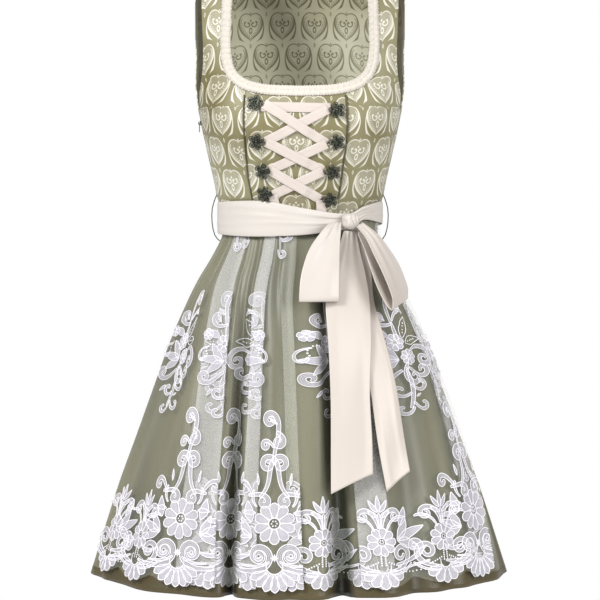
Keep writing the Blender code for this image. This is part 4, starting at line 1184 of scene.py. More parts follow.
# %% Lace drawing tools
def swing(start, heading, length, turns, step=0.0015):
    """A curve drawn by walking: its turns, in degrees a millimetre, are spread evenly along it."""
    count = max(int(length / step), 6)
    at = np.linspace(0, 1, count)
    rate = np.interp(at, np.linspace(0, 1, len(turns)), turns)
    stride = length / (count - 1)
    angle = np.radians(heading + np.concatenate([[0], np.cumsum(rate[1:])]) * stride * 1000)
    x = start[0] + np.concatenate([[0], np.cumsum(np.cos(angle[1:]))]) * stride
    y = start[1] + np.concatenate([[0], np.cumsum(np.sin(angle[1:]))]) * stride
    return np.stack([x, y], axis=1)


def straight(start, end, count=9):
    """Points along a straight line."""
    return np.linspace(start, end, count)


def polar(centre, angle, radius):
    turn = math.radians(angle)
    return (centre[0] + math.cos(turn) * radius, centre[1] + math.sin(turn) * radius)


def circle(centre, radius, step=24):
    return np.array([polar(centre, angle, radius) for angle in range(0, 361, step)])


print("a walked curve ends at", np.round(swing((0, 0), 90, 0.03, (3.0,))[-1], 4))

# %% Lace shapes
# Half widths along a shape, as shares of its widest place.
SCROLL = ((0.0, 0.25), (0.20, 0.75), (0.50, 1.00), (0.80, 0.78), (0.93, 0.62), (1.0, 0.50))
CURL = ((0.0, 0.45), (0.35, 0.75), (0.70, 1.00), (0.90, 0.80), (1.0, 0.55))
PETAL = ((0.0, 0.26), (0.25, 0.62), (0.62, 1.00), (0.86, 0.86), (0.96, 0.60), (1.0, 0.30))
LEAF = ((0.0, 0.20), (0.35, 1.00), (0.65, 0.78), (0.90, 0.30), (1.0, 0.05))
LOBE = ((0.0, 0.12), (0.30, 0.55), (0.60, 1.00), (0.82, 0.85), (0.95, 0.50), (1.0, 0.15))
THORN = ((0.0, 1.00), (0.5, 0.70), (1.0, 0.10))


class Lace:
    """Shapes on the flat net, in metres: each is a filled strip between two edges."""

    def __init__(self):
        self.filling, self.petals, self.cords, self.threads = [], [], [], []

    def shape(self, curve, half, profile, filled=True, rows=(), mirror=False):
        """A shape round a curve; rows are stitched threads, as shares of its half width."""
        for side in ((1, -1) if mirror else (1,)):
            line = curve * np.array([side, 1.0])
            way = unit(np.gradient(line, axis=0))
            out = np.stack([-way[:, 1], way[:, 0]], axis=1)
            wide = half * between(profile, np.linspace(0, 1, len(line)))[:, :1]
            left, right = line + out * wide, line - out * wide
            if filled:
                leafy = profile in (PETAL, LOBE, LEAF)
                (self.petals if leafy else self.filling).append((left, right))
            self.cords.append(np.concatenate([left, right[::-1], left[:1]]))
            self.threads += [(line + out * wide * row)[1:-1:2] for row in rows]

    def bead(self, centre, radius=0.0012, mirror=False):
        for side in ((1, -1) if mirror else (1,)):
            self.cords.append(circle((centre[0] * side, centre[1]), radius * 0.5, 60))

    def curl(self, start, heading, length, turns, half, mirror=False, profile=CURL):
        self.shape(swing(start, heading, length, turns), half, profile, rows=(0.3, -0.3),
                   mirror=mirror)

    def flower(self, centre, radius, petals, turn=0.0):
        for k in range(petals):
            angle = turn + 360 * k / petals
            self.shape(straight(polar(centre, angle, radius * 0.28),
                                polar(centre, angle, radius), 8),
                       radius * math.sin(math.pi / petals) * 0.74, PETAL, rows=(0.35, 0, -0.35))
        self.cords.append(circle(centre, radius * 0.27))
        for angle in range(0, 360, 60):
            self.bead(polar(centre, angle, radius * 0.13), radius * 0.045)

    def fan(self, centre, radius, lobes, spread, inner=0.30):
        for k in range(lobes):
            angle = -90 + spread * (k / (lobes - 1) - 0.5) * 2
            self.shape(straight(polar(centre, angle, radius * inner),
                                polar(centre, angle, radius), 10),
                       radius * math.sin(math.radians(spread / (lobes - 1))) * 0.90, LOBE,
                       rows=(0.45, 0.15, -0.15, -0.45))
        arc = [polar(centre, angle, radius * inner) for angle in range(-200, 21, 20)]
        self.cords.append(np.array(arc))

    def leaf(self, base, heading, length, half, bend=0.0, mirror=False, eyelets=False):
        curve = swing(base, heading, length, (bend,))
        self.shape(curve, half, LEAF, filled=not eyelets, mirror=mirror,
                   rows=() if eyelets else (0.45, 0.0, -0.45))
        if eyelets:
            for share in (0.25, 0.4, 0.55, 0.7):
                self.bead(tuple(curve[int(share * (len(curve) - 1))]), 0.0014, mirror)

    def trumpet(self, base, heading, length, half, mirror=False):
        """A three-lobed leaf that opens from its stem."""
        for turn, reach, bend in ((-30, 0.86, -0.5), (2, 1.0, 0.3), (32, 0.80, 1.0)):
            self.leaf(base, heading + turn, length * reach, half, bend, mirror)

    def moved(self, across, up, stretch=1.0, flip=1):
        """The same shapes put somewhere else on the net, as lists by their kind."""
        turn, put = np.array([flip * stretch, 1.0]), np.array([across, up])
        ends = slice(None, None, flip)
        made = {kind: [line * turn + put for line in getattr(self, kind)]
                for kind in ("cords", "threads")}
        for kind in ("filling", "petals"):
            made[kind] = [(b * turn + put, a * turn + put)[ends] for a, b in getattr(self, kind)]
        return made


print("lace profiles:", len((SCROLL, CURL, PETAL, LEAF, LOBE, THORN)))


# %% The lace's figures along the hem
def tree_figure():
    """A tall scroll tree on a daisy, over two volutes and a shell."""
    lace = Lace()
    lace.fan((0, 0.036), 0.038, 7, 60)
    lace.curl((0.068, 0.032), 192, 0.168, (-0.1, -0.5, -2.4, -4.2, -5.4, -9.5, -13), 0.0042,
              True, SCROLL)
    lace.curl((0.046, 0.036), 188, 0.040, (-0.4, -1.6), 0.0016, True)
    lace.curl((0.036, 0.052), -30, 0.036, (1.0, 2.6, 3.6), 0.0028, True, LEAF)
    for angle in range(0, 360, 45):
        lace.shape(straight((0, 0.048), polar((0, 0.048), angle, 0.0054), 4), 0.0006, THORN,
                   filled=False)
    lace.flower((0, 0.098), 0.030, 10, 90)
    lace.trumpet((0.034, 0.078), 12, 0.040, 0.0062, True)
    lace.leaf((0.034, 0.100), 66, 0.031, 0.0070, 0.6, True)
    lace.leaf((0.028, 0.112), 14, 0.020, 0.0034, -1.4, True)
    lace.leaf((0.046, 0.098), 10, 0.022, 0.0034, -1.0, True)
    lace.curl((0.027, 0.122), 40, 0.026, (3.2, 2.2), 0.0020, True)
    lace.curl((0.034, 0.140), 60, 0.056, (-0.3, -1.4, -6.0, -9.5, -14), 0.0036, True)
    lace.curl((0.040, 0.138), 172, 0.060, (-0.3, 0.3, 3.2, 8.0, 11, 15), 0.0040, True)
    lace.leaf((0.025, 0.154), 88, 0.017, 0.0019, -0.6, True)
    lace.curl((-0.022, 0.136), 42, 0.118, (1.4, 1.3, 1.0, -0.4, -3.0, -5.6, -6.8, -9, -14),
              0.0040, True)
    lace.curl((0.0, 0.186), 96, 0.122, (-0.9, -1.0, 0.6, 0.6, 3.2, 6.5, 8.0, 12), 0.0042)
    lace.curl((0.004, 0.232), -24, 0.046, (-0.6, -3.8, -8, -11, -15), 0.0048)
    lace.curl((-0.001, 0.210), 126, 0.044, (-1.0, 4.0, 9.5, 12, 15), 0.0030)
    lace.leaf((0.005, 0.244), 148, 0.017, 0.0018)
    return lace


def sprig_figure():
    """A smaller daisy with a leafy sprig above, between two C scrolls over a shell."""
    lace = Lace()
    lace.fan((0, 0.032), 0.033, 5, 56)
    for k in range(6):
        lace.bead((0.0030, 0.034 + 0.0032 * k), 0.0015, True)
        lace.bead((0.0078 + 0.0034 * k, 0.038 - 0.0016 * k), 0.0013, True)
    lace.curl((0.007, 0.025), 4, 0.100, (0.4, 1.2, 3.6, 5.0, 6.5, 11), 0.0036, True, SCROLL)
    lace.curl((0.010, 0.020), -4, 0.040, (0.9, 1.5), 0.0015, True)
    lace.flower((0, 0.068), 0.021, 9)
    lace.curl((0.003, 0.088), 84, 0.074, (-0.2, -1.8, -3.6, -6.5, -10, -14), 0.0030, True, SCROLL)
    lace.curl((0.009, 0.084), 70, 0.040, (-0.8, -2.6, -3.4), 0.0018, True)
    lace.curl((0, 0.088), 90, 0.022, (0.0, 0.0), 0.0018)
    lace.leaf((0, 0.112), 90, 0.024, 0.0036)
    for heading, up, length in ((46, 0.112, 0.021), (24, 0.105, 0.017)):
        lace.leaf((0.002, up), heading, length, 0.0032, 0.8, True)
    return lace


def link_figure():
    """A trumpet leaf over a long scroll, which fills the space between two daisies."""
    lace = Lace()
    lace.trumpet((-0.024, 0.068), 12, 0.046, 0.0070)
    lace.leaf((-0.018, 0.088), 58, 0.028, 0.0062, 0.6)
    lace.curl((-0.030, 0.032), 6, 0.086, (0.0, 0.3, 1.8, 4.6, 8, 13), 0.0036)
    lace.curl((-0.026, 0.024), 2, 0.050, (0.2, 0.6), 0.0014)
    lace.curl((0.004, 0.036), 48, 0.026, (1.5, -2.5), 0.0024, profile=LEAF)
    for k in range(7):
        lace.bead((-0.020 + 0.0060 * k, 0.018 + 0.0006 * abs(k - 3)), 0.0012)
    return lace


def shell_figure():
    """A plain shell, where the net lies folded away."""
    lace = Lace()
    lace.fan((0, 0.032), 0.033, 5, 56)
    return lace


print("cords in a tree:", len(tree_figure().cords), "in a sprig:", len(sprig_figure().cords))


# %% The lace's figures above
def bouquet_figure():
    """A hanging spray: a curled top, veined leaves, small flowers and a tail of curls."""
    lace = Lace()
    lace.curl((0.000, 0.146), 96, 0.100, (0.6, -0.6, -2.6, -6, -9, -13), 0.0040)
    lace.curl((0.003, 0.150), 60, 0.036, (0.5, -3.0, -9), 0.0022)
    lace.leaf((0.014, 0.160), 40, 0.016, 0.0022)
    lace.curl((0.002, 0.146), 200, 0.060, (-0.8, -1.8, -6, -10, -14), 0.0034)
    lace.leaf((-0.010, 0.150), 128, 0.015, 0.0020)
    lace.curl((0.001, 0.148), 268, 0.034, (0.6, 0.2, -0.4), 0.0026, profile=SCROLL)
    lace.leaf((0.010, 0.124), 64, 0.036, 0.0072, -0.3, eyelets=True)
    lace.leaf((0.014, 0.116), 16, 0.031, 0.0066, -0.5, eyelets=True)
    lace.leaf((-0.010, 0.126), 150, 0.026, 0.0052, 0.6)
    lace.flower((-0.032, 0.130), 0.0085, 5, 20)
    lace.flower((-0.002, 0.117), 0.013, 7, 10)
    lace.flower((0.014, 0.094), 0.012, 8, 0)
    for k in range(10):
        lace.bead(polar((-0.022, 0.106), 215 - 24 * k, 0.010), 0.0016)
    lace.curl((-0.028, 0.112), 190, 0.044, (1.0, 3.5, 8, 12), 0.0018)
    lace.curl((0.020, 0.104), 30, 0.088, (-1.0, -2.4, -3.6, -5.0, -8, -13), 0.0038, profile=SCROLL)
    lace.trumpet((-0.002, 0.090), 168, 0.040, 0.0062)
    lace.curl((0.010, 0.086), -120, 0.066, (0.4, 2.4, 5.0, 8, 12), 0.0036, profile=SCROLL)
    lace.curl((0.000, 0.074), -150, 0.070, (1.2, 0.4, -2.6, -6.5, -10, -14), 0.0036)
    lace.curl((0.010, 0.078), -38, 0.060, (-1.2, 1.0, 5.0, 9, 14), 0.0034)
    lace.curl((0.006, 0.078), -84, 0.062, (0.6, -0.6, -0.8, -0.2), 0.0028, profile=SCROLL)
    lace.curl((0.008, 0.052), -48, 0.046, (0.6, 3.5, 8, 13), 0.0028)
    lace.curl((0.006, 0.040), -136, 0.040, (-1.0, -5.0, -9, -14), 0.0026)
    lace.curl((0.007, 0.026), -62, 0.040, (0.6, 3.0, 9, 14), 0.0026)
    lace.curl((0.006, 0.018), -112, 0.034, (-0.6, -4.5, -10, -15), 0.0024)
    lace.leaf((-0.016, 0.048), 228, 0.014, 0.0022)
    lace.leaf((0.022, 0.060), -40, 0.014, 0.0020)
    lace.leaf((0.012, 0.034), 20, 0.010, 0.0016)
    return lace


def tip_figure():
    """The tail of a spray that comes out under the sash."""
    lace = Lace()
    lace.curl((0.0, 0.060), -88, 0.050, (0.6, -0.6), 0.0024, profile=SCROLL)
    lace.curl((0.001, 0.038), -50, 0.038, (0.6, 4.0, 9, 13), 0.0026)
    lace.curl((-0.001, 0.044), -130, 0.034, (-1.5, -6, -13), 0.0024)
    lace.curl((0.0, 0.016), -74, 0.034, (0.6, 4.5, 12, 14), 0.0024)
    return lace


figures = {"tree": tree_figure(), "sprig": sprig_figure(), "link": link_figure(),
           "shell": shell_figure(), "bouquet": bouquet_figure(), "tip": tip_figure()}
print("lace figures:", list(figures))

# %% Laying the lace on the net
HEM_LINE = APRON_DROP + SCALLOP / 2 / (WAIST - HEM)
apron_length = run_along(on_apron(apron_place[200], down[:, 0]))[-1]


def on_net(flat, lift):
    """A point of the flat lace on the folded net, and its depth in the folds."""
    place = np.interp(flat[..., 0], apron_run, apron_place)
    share = np.clip(HEM_LINE - flat[..., 1] / apron_length, 0.006, 1.02)
    return on_apron(place, share, lift).reshape(-1, 3), apron_depth(place, share).ravel()


CORD_HALF = 0.00070            # half the width of a cord near the hem
FINE_CORD_HALF = 0.00055       # and in the sprays
LOW_FIGURES = 0.1              # figures that stand lower than this have the wider cord
CORD_EDGE = 0.0002             # lifts off the net
FILLING_LIFT = 0.0003
THREAD_LIFT = 0.0006
CORD_RISE = 0.0010
THREAD_HALF = 0.00020
strips = {kind: {"points": [], "depth": [], "faces": [], "count": 0}
          for kind in ("filling", "petals", "threads", "cords")}


def add_strip(kind, lines, lift):
    """Adds one strip: lines side by side along it, each at its own lift off the net."""
    flat, strip = np.stack(lines, axis=1), strips[kind]
    laid, deep = on_net(flat, np.array(lift)[None, :])
    strip["points"].append(laid)
    strip["depth"].append(deep)
    strip["faces"].append(quads(*flat.shape[:2], strip["count"]))
    strip["count"] += len(laid)


def sideways(line, half):
    """From a line to the edge of its strip, square to it."""
    way = unit(np.gradient(line, axis=0))
    return np.stack([-way[:, 1], way[:, 0]], axis=1) * half


for name, *where in FIGURES:
    shapes = figures[name].moved(*where)
    for kind in ("filling", "petals"):
        for edges in shapes[kind]:
            add_strip(kind, edges, (FILLING_LIFT, FILLING_LIFT))
    for line in shapes["threads"]:
        side = sideways(line, THREAD_HALF)
        add_strip("threads", (line + side, line - side), (THREAD_LIFT, THREAD_LIFT))
    half = CORD_HALF if where[1] < LOW_FIGURES else FINE_CORD_HALF
    for line in shapes["cords"]:
        side = sideways(line, half)
        add_strip("cords", (line + side, line, line - side),
                  (CORD_EDGE, CORD_RISE, CORD_EDGE))
lace_pieces = [
    mesh_piece("lace_" + kind, np.concatenate(strips[kind]["points"]),
               np.concatenate(strips[kind]["faces"]).tolist(), [material],
               depth=np.concatenate(strips[kind]["depth"]))
    for kind, material in (("filling", filling), ("petals", petals), ("threads", thread),
                           ("cords", cord))]
for piece in lace_pieces:
    print(piece.name, "faces:", len(piece.data.polygons))

# %% [markdown]
# ## Sash and bow
# A satin ribbon 57 mm wide goes round the waist. Pulled tight, it creases along its
# length; the creases draw together where it is tied. The knot is the ribbon wrapped round
# itself, and the loops and ends hang from it.

# %% Sash sizes
WALL_RIBBON = 0.0010
EDGE_ROLL = 0.0006             # a ribbon's edges turn in by this much
SASH_FORM = (0.1264, 0.1016, 0.0905, 2.05)   # half width, front, back, squareness
SASH_EDGE = (
    # angle, top height, bottom height
    (-90.0, -0.3800, -0.4270),
    (-60.0, -0.3790, -0.4300),
    (-35.0, -0.3780, -0.4315),
    (-18.0, -0.3805, -0.4310),
    (4.0, -0.3900, -0.4285),
    (25.0, -0.3972, -0.4225),
    (36.0, -0.3975, -0.4200),
    (49.0, -0.3870, -0.4060),
    (72.0, -0.3792, -0.4105),
    (90.0, -0.3790, -0.4130),
    (180.0, -0.3780, -0.4280),
    (270.0, -0.3800, -0.4270),
)
SASH_SEAM_ANGLE = 0.03         # half the gap at the side, in degrees
KNOT_ANGLE = 33.0
KNOT_GAP_ANGLE = 0.2           # from the knot's middle to each end of the sash
SASH_CREASES = (
    # place across the ribbon, from its lower edge, at its left, middle and right end,
    # height of the crease, how far it is soft to each side
    (0.06, 0.14, 0.30, 0.0018, 0.085),
    (0.30, 0.38, 0.46, 0.0026, 0.075),
    (0.62, 0.58, 0.58, 0.0020, 0.070),
    (0.90, 0.84, 0.74, 0.0024, 0.085),
)
print("sash height at the back:", round(SASH_EDGE[-2][1] - SASH_EDGE[-2][2], 3))


# %% Sash
def on_sash(angle, height, lift=0.0):
    """A point of the sash's level section, moved out by a lift."""
    x, y = ring_point(angle, *SASH_FORM)
    turn = np.radians(angle)
    depth = np.where(y < 0, SASH_FORM[1], SASH_FORM[2])
    out = unit(stack(np.sin(turn) / SASH_FORM[0], -np.cos(turn) / depth, 0.0))
    return stack(x, y, height) + out * np.asarray(lift)[..., None]


def crease_height(across, along, creases, size=1.0):
    """Soft ridges along a ribbon: place across and along it, both from 0 to 1."""
    height = np.zeros(np.broadcast(across, along).shape)
    for k, (start, middle, end, rise, soft) in enumerate(creases):
        line = between([(0.0, start), (0.5, middle), (1.0, end)], along)[..., 0]
        line = line + 0.018 * np.sin(along * 9.0 + 2.1 * k)
        strength = 0.62 + 0.38 * np.sin(along * (7.0 + 1.7 * k) + 1.3 * k)
        height = height + rise * strength * np.exp(-((across - line) / soft) ** 2) * size
    return height


def sash_band(name, start, end, columns, rows=40):
    angle = np.linspace(start, end, columns)[None, :]
    across = np.linspace(0, 1, rows)[:, None]
    top, bottom = np.moveaxis(between(SASH_EDGE, angle), -1, 0)
    along = (angle - start) / (end - start)
    near_knot = 0.22 + 0.78 * np.exp(-abs(angle - KNOT_ANGLE) / 24.0)
    lift = crease_height(across, along, SASH_CREASES) * near_knot
    roll = -EDGE_ROLL * (np.exp(-across / 0.05) + np.exp(-(1 - across) / 0.05))
    return cloth(name, on_sash(angle, mix(bottom, top, across), lift + roll + SEAM),
                 WALL_RIBBON, ivory_satin)


sash_bands = [
    sash_band("sash_front_band", SASH_SEAM_ANGLE - 90, KNOT_ANGLE - KNOT_GAP_ANGLE, 160),
    sash_band("sash_side_band", KNOT_ANGLE + KNOT_GAP_ANGLE, 90 - SASH_SEAM_ANGLE, 70),
    sash_band("sash_back_band", 90 + SASH_SEAM_ANGLE, 270 - SASH_SEAM_ANGLE, 140)]
print("sash bands:", [o.name for o in sash_bands])

# %% Bow sizes
TAIL_SWAY = 0.0009             # an end sways to the sides by this much
TAIL_BILLOW = 0.0034           # and billows out by this much
TAIL_CURL = 0.0010             # its edges curl at the knot
LOOP_BILLOW = 0.0022
TAIL_LEFT = (
    # height, left edge, right edge, lift off the apron's form, at the left and right edge
    (-0.4229, 0.0650, 0.0840, 0.0222, 0.0225),
    (-0.4520, 0.0560, 0.0890, 0.0230, 0.0225),
    (-0.4850, 0.0440, 0.0970, 0.0225, 0.0230),
    (-0.5270, 0.0380, 0.1040, 0.0215, 0.0230),
    (-0.5800, 0.0410, 0.1050, 0.0205, 0.0225),
    (-0.6600, 0.0435, 0.1010, 0.0185, 0.0215),
    (-0.7250, 0.0440, 0.1040, 0.0170, 0.0195),
    (-0.7740, 0.0450, 0.1060, 0.0165, 0.0175),
)
TAIL_RIGHT = (
    # height, left edge, right edge, lift off the apron's form, at the left and right edge
    (-0.4222, 0.0745, 0.0900, 0.0180, 0.0180),
    (-0.4520, 0.0740, 0.0990, 0.0170, 0.0163),
    (-0.4850, 0.0740, 0.1060, 0.0170, 0.0160),
    (-0.5270, 0.0760, 0.1100, 0.0170, 0.0160),
    (-0.5900, 0.0870, 0.1270, 0.0165, 0.0160),
    (-0.6500, 0.1010, 0.1400, 0.0160, 0.0160),
    (-0.7200, 0.1130, 0.1510, 0.0160, 0.0155),
    (-0.7740, 0.1260, 0.1610, 0.0155, 0.0155),
)
TAIL_CUT = 0.0260              # how much longer one corner of an end is than the other
BOW_LEFT = (
    # round the loop: middle across, height, half width, lift off the skirt's form
    (0.0529, -0.4110, 0.0085, 0.0210),
    (0.0465, -0.4230, 0.0140, 0.0335),
    (0.0360, -0.4500, 0.0225, 0.0400),
    (0.0300, -0.4850, 0.0280, 0.0395),
    (0.0280, -0.5180, 0.0295, 0.0370),
    (0.0280, -0.5250, 0.0295, 0.0320),
    (0.0280, -0.5180, 0.0295, 0.0275),
    (0.0310, -0.4850, 0.0265, 0.0265),
    (0.0380, -0.4500, 0.0210, 0.0265),
    (0.0460, -0.4270, 0.0125, 0.0260),
    (0.0529, -0.4160, 0.0085, 0.0180),
)
BOW_RIGHT = (
    # round the loop: middle across, out, height, share of the ribbon's width
    (0.0892, -0.0960, -0.4140, 0.40),
    (0.1050, -0.1130, -0.4300, 0.62),
    (0.1190, -0.1230, -0.4520, 0.85),
    (0.1360, -0.1260, -0.4832, 1.00),
    (0.1480, -0.1270, -0.5158, 1.00),
    (0.1475, -0.1270, -0.5310, 1.00),
    (0.1391, -0.1270, -0.5230, 1.00),
    (0.1243, -0.1280, -0.4950, 0.95),
    (0.1110, -0.1250, -0.4640, 0.75),
    (0.1010, -0.1160, -0.4430, 0.55),
    (0.0910, -0.0995, -0.4230, 0.40),
)
BOW_RIGHT_SIDE = (0.0125, 0.0255, 0.0070)   # half the ribbon's width, as a direction
RIBBON_CREASES = (
    # place across the ribbon at its start, middle and end, height, softness
    (0.36, 0.22, 0.18, 0.0024, 0.120),
    (0.66, 0.78, 0.84, 0.0026, 0.130),
)
print("ends hang down to", TAIL_LEFT[-1][0], "and", TAIL_RIGHT[-1][0])


# %% Bow ends and loops
def over_apron(across, height, lift):
    """A point in front of the apron, a lift off the skirt's bare form."""
    share = np.clip((WAIST - height) / (WAIST - HEM), 0.0, 1.0)
    half_width, front, _, middle = np.moveaxis(between(SKIRT_FORM, share), -1, 0)
    inside = np.maximum(0.0, 1 - ((across - middle) / (half_width + lift)) ** 2)
    return stack(across, -(front + lift) * np.sqrt(inside), height)


def numbered(table):
    return [(k, *row) for k, row in enumerate(table)]


def tail(name, table, rows=120, columns=44):
    """An end of the ribbon, cut at a slant."""
    share = np.linspace(1, 0, rows)[:, None]
    s = np.linspace(0, 1, columns)[None, :]
    height, left, right, lift_left, lift_right = np.moveaxis(
        between(numbered(table), share * (len(table) - 1)), -1, 0)
    across, lift = mix(left, right, s), mix(lift_left, lift_right, s)
    across = across + TAIL_SWAY * np.sin(9.0 * share + 1.0) * smooth(0.2, 0.6, share)
    height = height - TAIL_CUT * (1 - s) ** 1.15 * np.maximum(0, (share - 0.7) / 0.3)
    billow = 0.5 + 0.5 * np.sin(11.0 * share + 2.6 * s + left * 40.0)
    lift = lift + TAIL_BILLOW * billow * smooth(0.15, 0.5, share)
    lift = lift + TAIL_CURL * np.sin(2 * np.pi * s) * (1 - share)
    fan = 0.25 + 0.75 * np.exp(-share / 0.45)
    lift = lift + crease_height(s, share, RIBBON_CREASES, 1.1) * fan
    return cloth(name, over_apron(across, height, lift), WALL_RIBBON, ivory_satin)


def loop_left(rows=140, columns=32):
    """The loop that hangs in front of the skirt; only its front creases."""
    share = np.linspace(1, 0, rows)[:, None]
    s = np.linspace(0, 1, columns)[None, :]
    across, height, half, lift = np.moveaxis(
        between(numbered(BOW_LEFT), share * (len(BOW_LEFT) - 1)), -1, 0)
    front = smooth(0.62, 0.40, share)
    near_knot = 0.20 + 0.80 * np.exp(-share / 0.16)
    lift = lift + crease_height(s, share * 1.6, RIBBON_CREASES, 1.3) * front * near_knot
    lift = lift + LOOP_BILLOW * np.sin(7.0 * share + 3.2 * s) ** 2 * front
    return cloth("bow_left_loop", over_apron(mix(across - half, across + half, s), height, lift),
                 WALL_RIBBON, ivory_satin)


def loop_right(rows=140, columns=32):
    """The loop that stands out to the side, its ribbon turned edge on."""
    share = np.linspace(1, 0, rows)[:, None]
    s = np.linspace(-1, 1, columns)[None, :]
    x, y, z, wide = np.moveaxis(between(numbered(BOW_RIGHT), share * (len(BOW_RIGHT) - 1)), -1, 0)
    points = stack(x, y, z) + np.array(BOW_RIGHT_SIDE) * (wide * s)[..., None]
    points = np.broadcast_to(points, (rows, columns, 3))
    crease = crease_height(s / 2 + 0.5, share, RIBBON_CREASES, 1.0) * smooth(0.5, 0.1, share)
    return cloth("bow_right_loop", points + out_of(points) * crease[..., None], WALL_RIBBON,
                 ivory_satin)


bow = [tail("tail_left_end", TAIL_LEFT), tail("tail_right_end", TAIL_RIGHT), loop_left(),
       loop_right()]
print("bow pieces:", [o.name for o in bow])

# %% Knot
KNOT_SIZE = (0.0140, 0.0100, 0.0125)         # half its width, depth and height
KNOT_HEIGHT = -0.4090
KNOT_SEAT = 0.0009             # from the sash to the knot
KNOT_CREASES = (
    # place across the wrap, height of the crease, how far it is soft
    (-0.62, 0.0016, 0.13),
    (-0.18, 0.0020, 0.12),
    (0.22, 0.0016, 0.11),
    (0.60, 0.0018, 0.13),
)


def knot_wrap(segments=72, rings=56):
    """The knot: a soft bun of ribbon, with the creases of its wrap running downwards."""
    bpy.ops.object.select_all(action="DESELECT")
    bpy.ops.mesh.primitive_uv_sphere_add(segments=segments, ring_count=rings, radius=1.0)
    made = bpy.context.object
    made.name = "bow_knot"
    turn = Matrix.Rotation(math.radians(KNOT_ANGLE), 4, "Z")
    seat = on_sash(KNOT_ANGLE, KNOT_HEIGHT, WALL_RIBBON + SEAM + KNOT_SIZE[1] + KNOT_SEAT)
    for vert in made.data.vertices:
        x, y, z = vert.co
        side = x + 0.22 * math.sin(2.2 * z + 0.7)
        crease = sum(rise * math.exp(-((side - place) / soft) ** 2)
                     for place, rise, soft in KNOT_CREASES)
        waist = 1 - 0.10 * math.exp(-(z / 0.35) ** 2)
        bun = [math.copysign(abs(c) ** 0.82, c) for c in (x, y, z)]
        grow = crease * (1.0 if y < 0.3 else 0.0)
        vert.co = (bun[0] * (KNOT_SIZE[0] * waist + grow * 0.5), bun[1] * (KNOT_SIZE[1] + grow),
                   bun[2] * KNOT_SIZE[2])
    made.data.transform(Matrix.Translation(Vector(seat)) @ turn)
    bpy.ops.object.shade_smooth()
    made.data.uv_layers.active.name = "chart"
    for corner in made.data.uv_layers.active.data:
        corner.uv *= 0.06
    made.data.materials.append(ivory_satin)
    return made


bow.append(knot_wrap())
print("knot faces:", len(bow[-1].data.polygons))

# %% [markdown]
# ## Lacing
# One satin ribbon 14 mm wide zigzags down the front between the hooks. It lies flat on the
# chest, passes over and under itself, and its two ends go down behind the sash.

# %% Ribbon stretches
LACE_WIDTH = 0.0140
LACE_WALL = WALL_RIBBON * 0.8
LACE_LIFT = 0.0006             # from the bodice to the lowest stretch
LACE_STEP = 0.0016             # height of one crossing over another
HOOKS_LEFT = (
    # hook, then where the ribbon turns: across, height
    (-0.0645, -0.2349, -0.0519, -0.2357),
    (-0.0624, -0.2890, -0.0490, -0.2905),
    (-0.0544, -0.3319, -0.0440, -0.3319),
    (-0.0516, -0.3655, -0.0400, -0.3690),
)
HOOKS_RIGHT = (
    # hook, then where the ribbon turns: across, height
    (0.0534, -0.2446, 0.0408, -0.2431),
    (0.0535, -0.2899, 0.0386, -0.2934),
    (0.0477, -0.3334, 0.0335, -0.3334),
    (0.0441, -0.3735, 0.0300, -0.3755),
)
LACE_CREASES = (
    # place across at the start, middle and end, height, softness
    (0.30, 0.26, 0.34, 0.0003, 0.10),
    (0.66, 0.72, 0.62, 0.0003, 0.09),
)


def stretch(name, start, end, levels, columns=64, rows=14):
    """One stretch of the ribbon, at its start, middle and end level."""
    run = Vector((end[0] - start[0], end[1] - start[1]))
    side = Vector((-run.y, run.x)).normalized() * LACE_WIDTH / 2
    rise = ((0.0, levels[0]), (0.14, levels[0]), (0.30, levels[1]),
            (0.68, levels[1]), (0.82, levels[2]), (1.0, levels[2]))
    share = np.linspace(0, 1, columns)[None, :]
    across = np.linspace(-1, 1, rows)[:, None]
    level = between(rise, share)[..., 0]
    lift = WALL_BODICE + LACE_LIFT + LACE_STEP * level
    lift = lift + crease_height(across / 2 + 0.5, share, LACE_CREASES)
    return cloth(name, on_front(start[0] + run.x * share + side.x * across,
                                start[1] + run.y * share + side.y * across, lift),
                 LACE_WALL, ribbon_satin)


print("crossings:", len(HOOKS_LEFT) - 1, "ribbon width:", LACE_WIDTH)

# %% The whole ribbon
left = [row[2:] for row in HOOKS_LEFT]
right = [row[2:] for row in HOOKS_RIGHT]
laces = {"lace_top": stretch("ribbon_top", (left[0][0] - 0.004, left[0][1] - 0.004),
                             (right[0][0] + 0.004, right[0][1] + 0.001), (0, 0, 0))}
for k in range(3):
    laces[f"lace_down_right_{k + 1}"] = stretch(f"ribbon_down_right_{k + 1}", left[k],
                                                right[k + 1], (1, 2, 0))
    laces[f"lace_down_left_{k + 1}"] = stretch(f"ribbon_down_left_{k + 1}", left[k + 1],
                                               right[k], (0, 1, 1))
laces["lace_end_left"] = stretch("ribbon_end_left", left[3], (left[3][0] + 0.004, -0.3840),
                                 (1, 1, 1), 24)
laces["lace_end_right"] = stretch("ribbon_end_right", right[3], (right[3][0] + 0.002, -0.3990),
                                  (1, 1, 1), 24)
print("ribbon stretches:", len(laces))

# %% [markdown]
# ## Hooks
# Each hook is a cast flower of five open lobes round a beaded middle, blackened, with a small
# loop at the side that the ribbon passes.

# %% Rosettes
RING_WALL = 0.0008             # half the thickness of the outer rings
SMALL_RING_WALL = 0.0006
LOBE_COUNT = 5
LOBE_REACH = 0.0082            # from the middle of the hook to the middle of a lobe
PLATE_LIFT = 0.0014            # from the solid's middle to the flower's face


def part_ring(major, minor, place, turns=28, sides=10):
    bpy.ops.mesh.primitive_torus_add(major_radius=major, minor_radius=minor, location=place,
                                     major_segments=turns, minor_segments=sides)
    return bpy.context.object


def part_bead(radius, place, flat=0.8):
    """A ball pressed a little flat."""
    bpy.ops.mesh.primitive_uv_sphere_add(segments=14, ring_count=8, radius=radius, location=place)
    bpy.context.object.scale = (1, 1, flat)
    return bpy.context.object


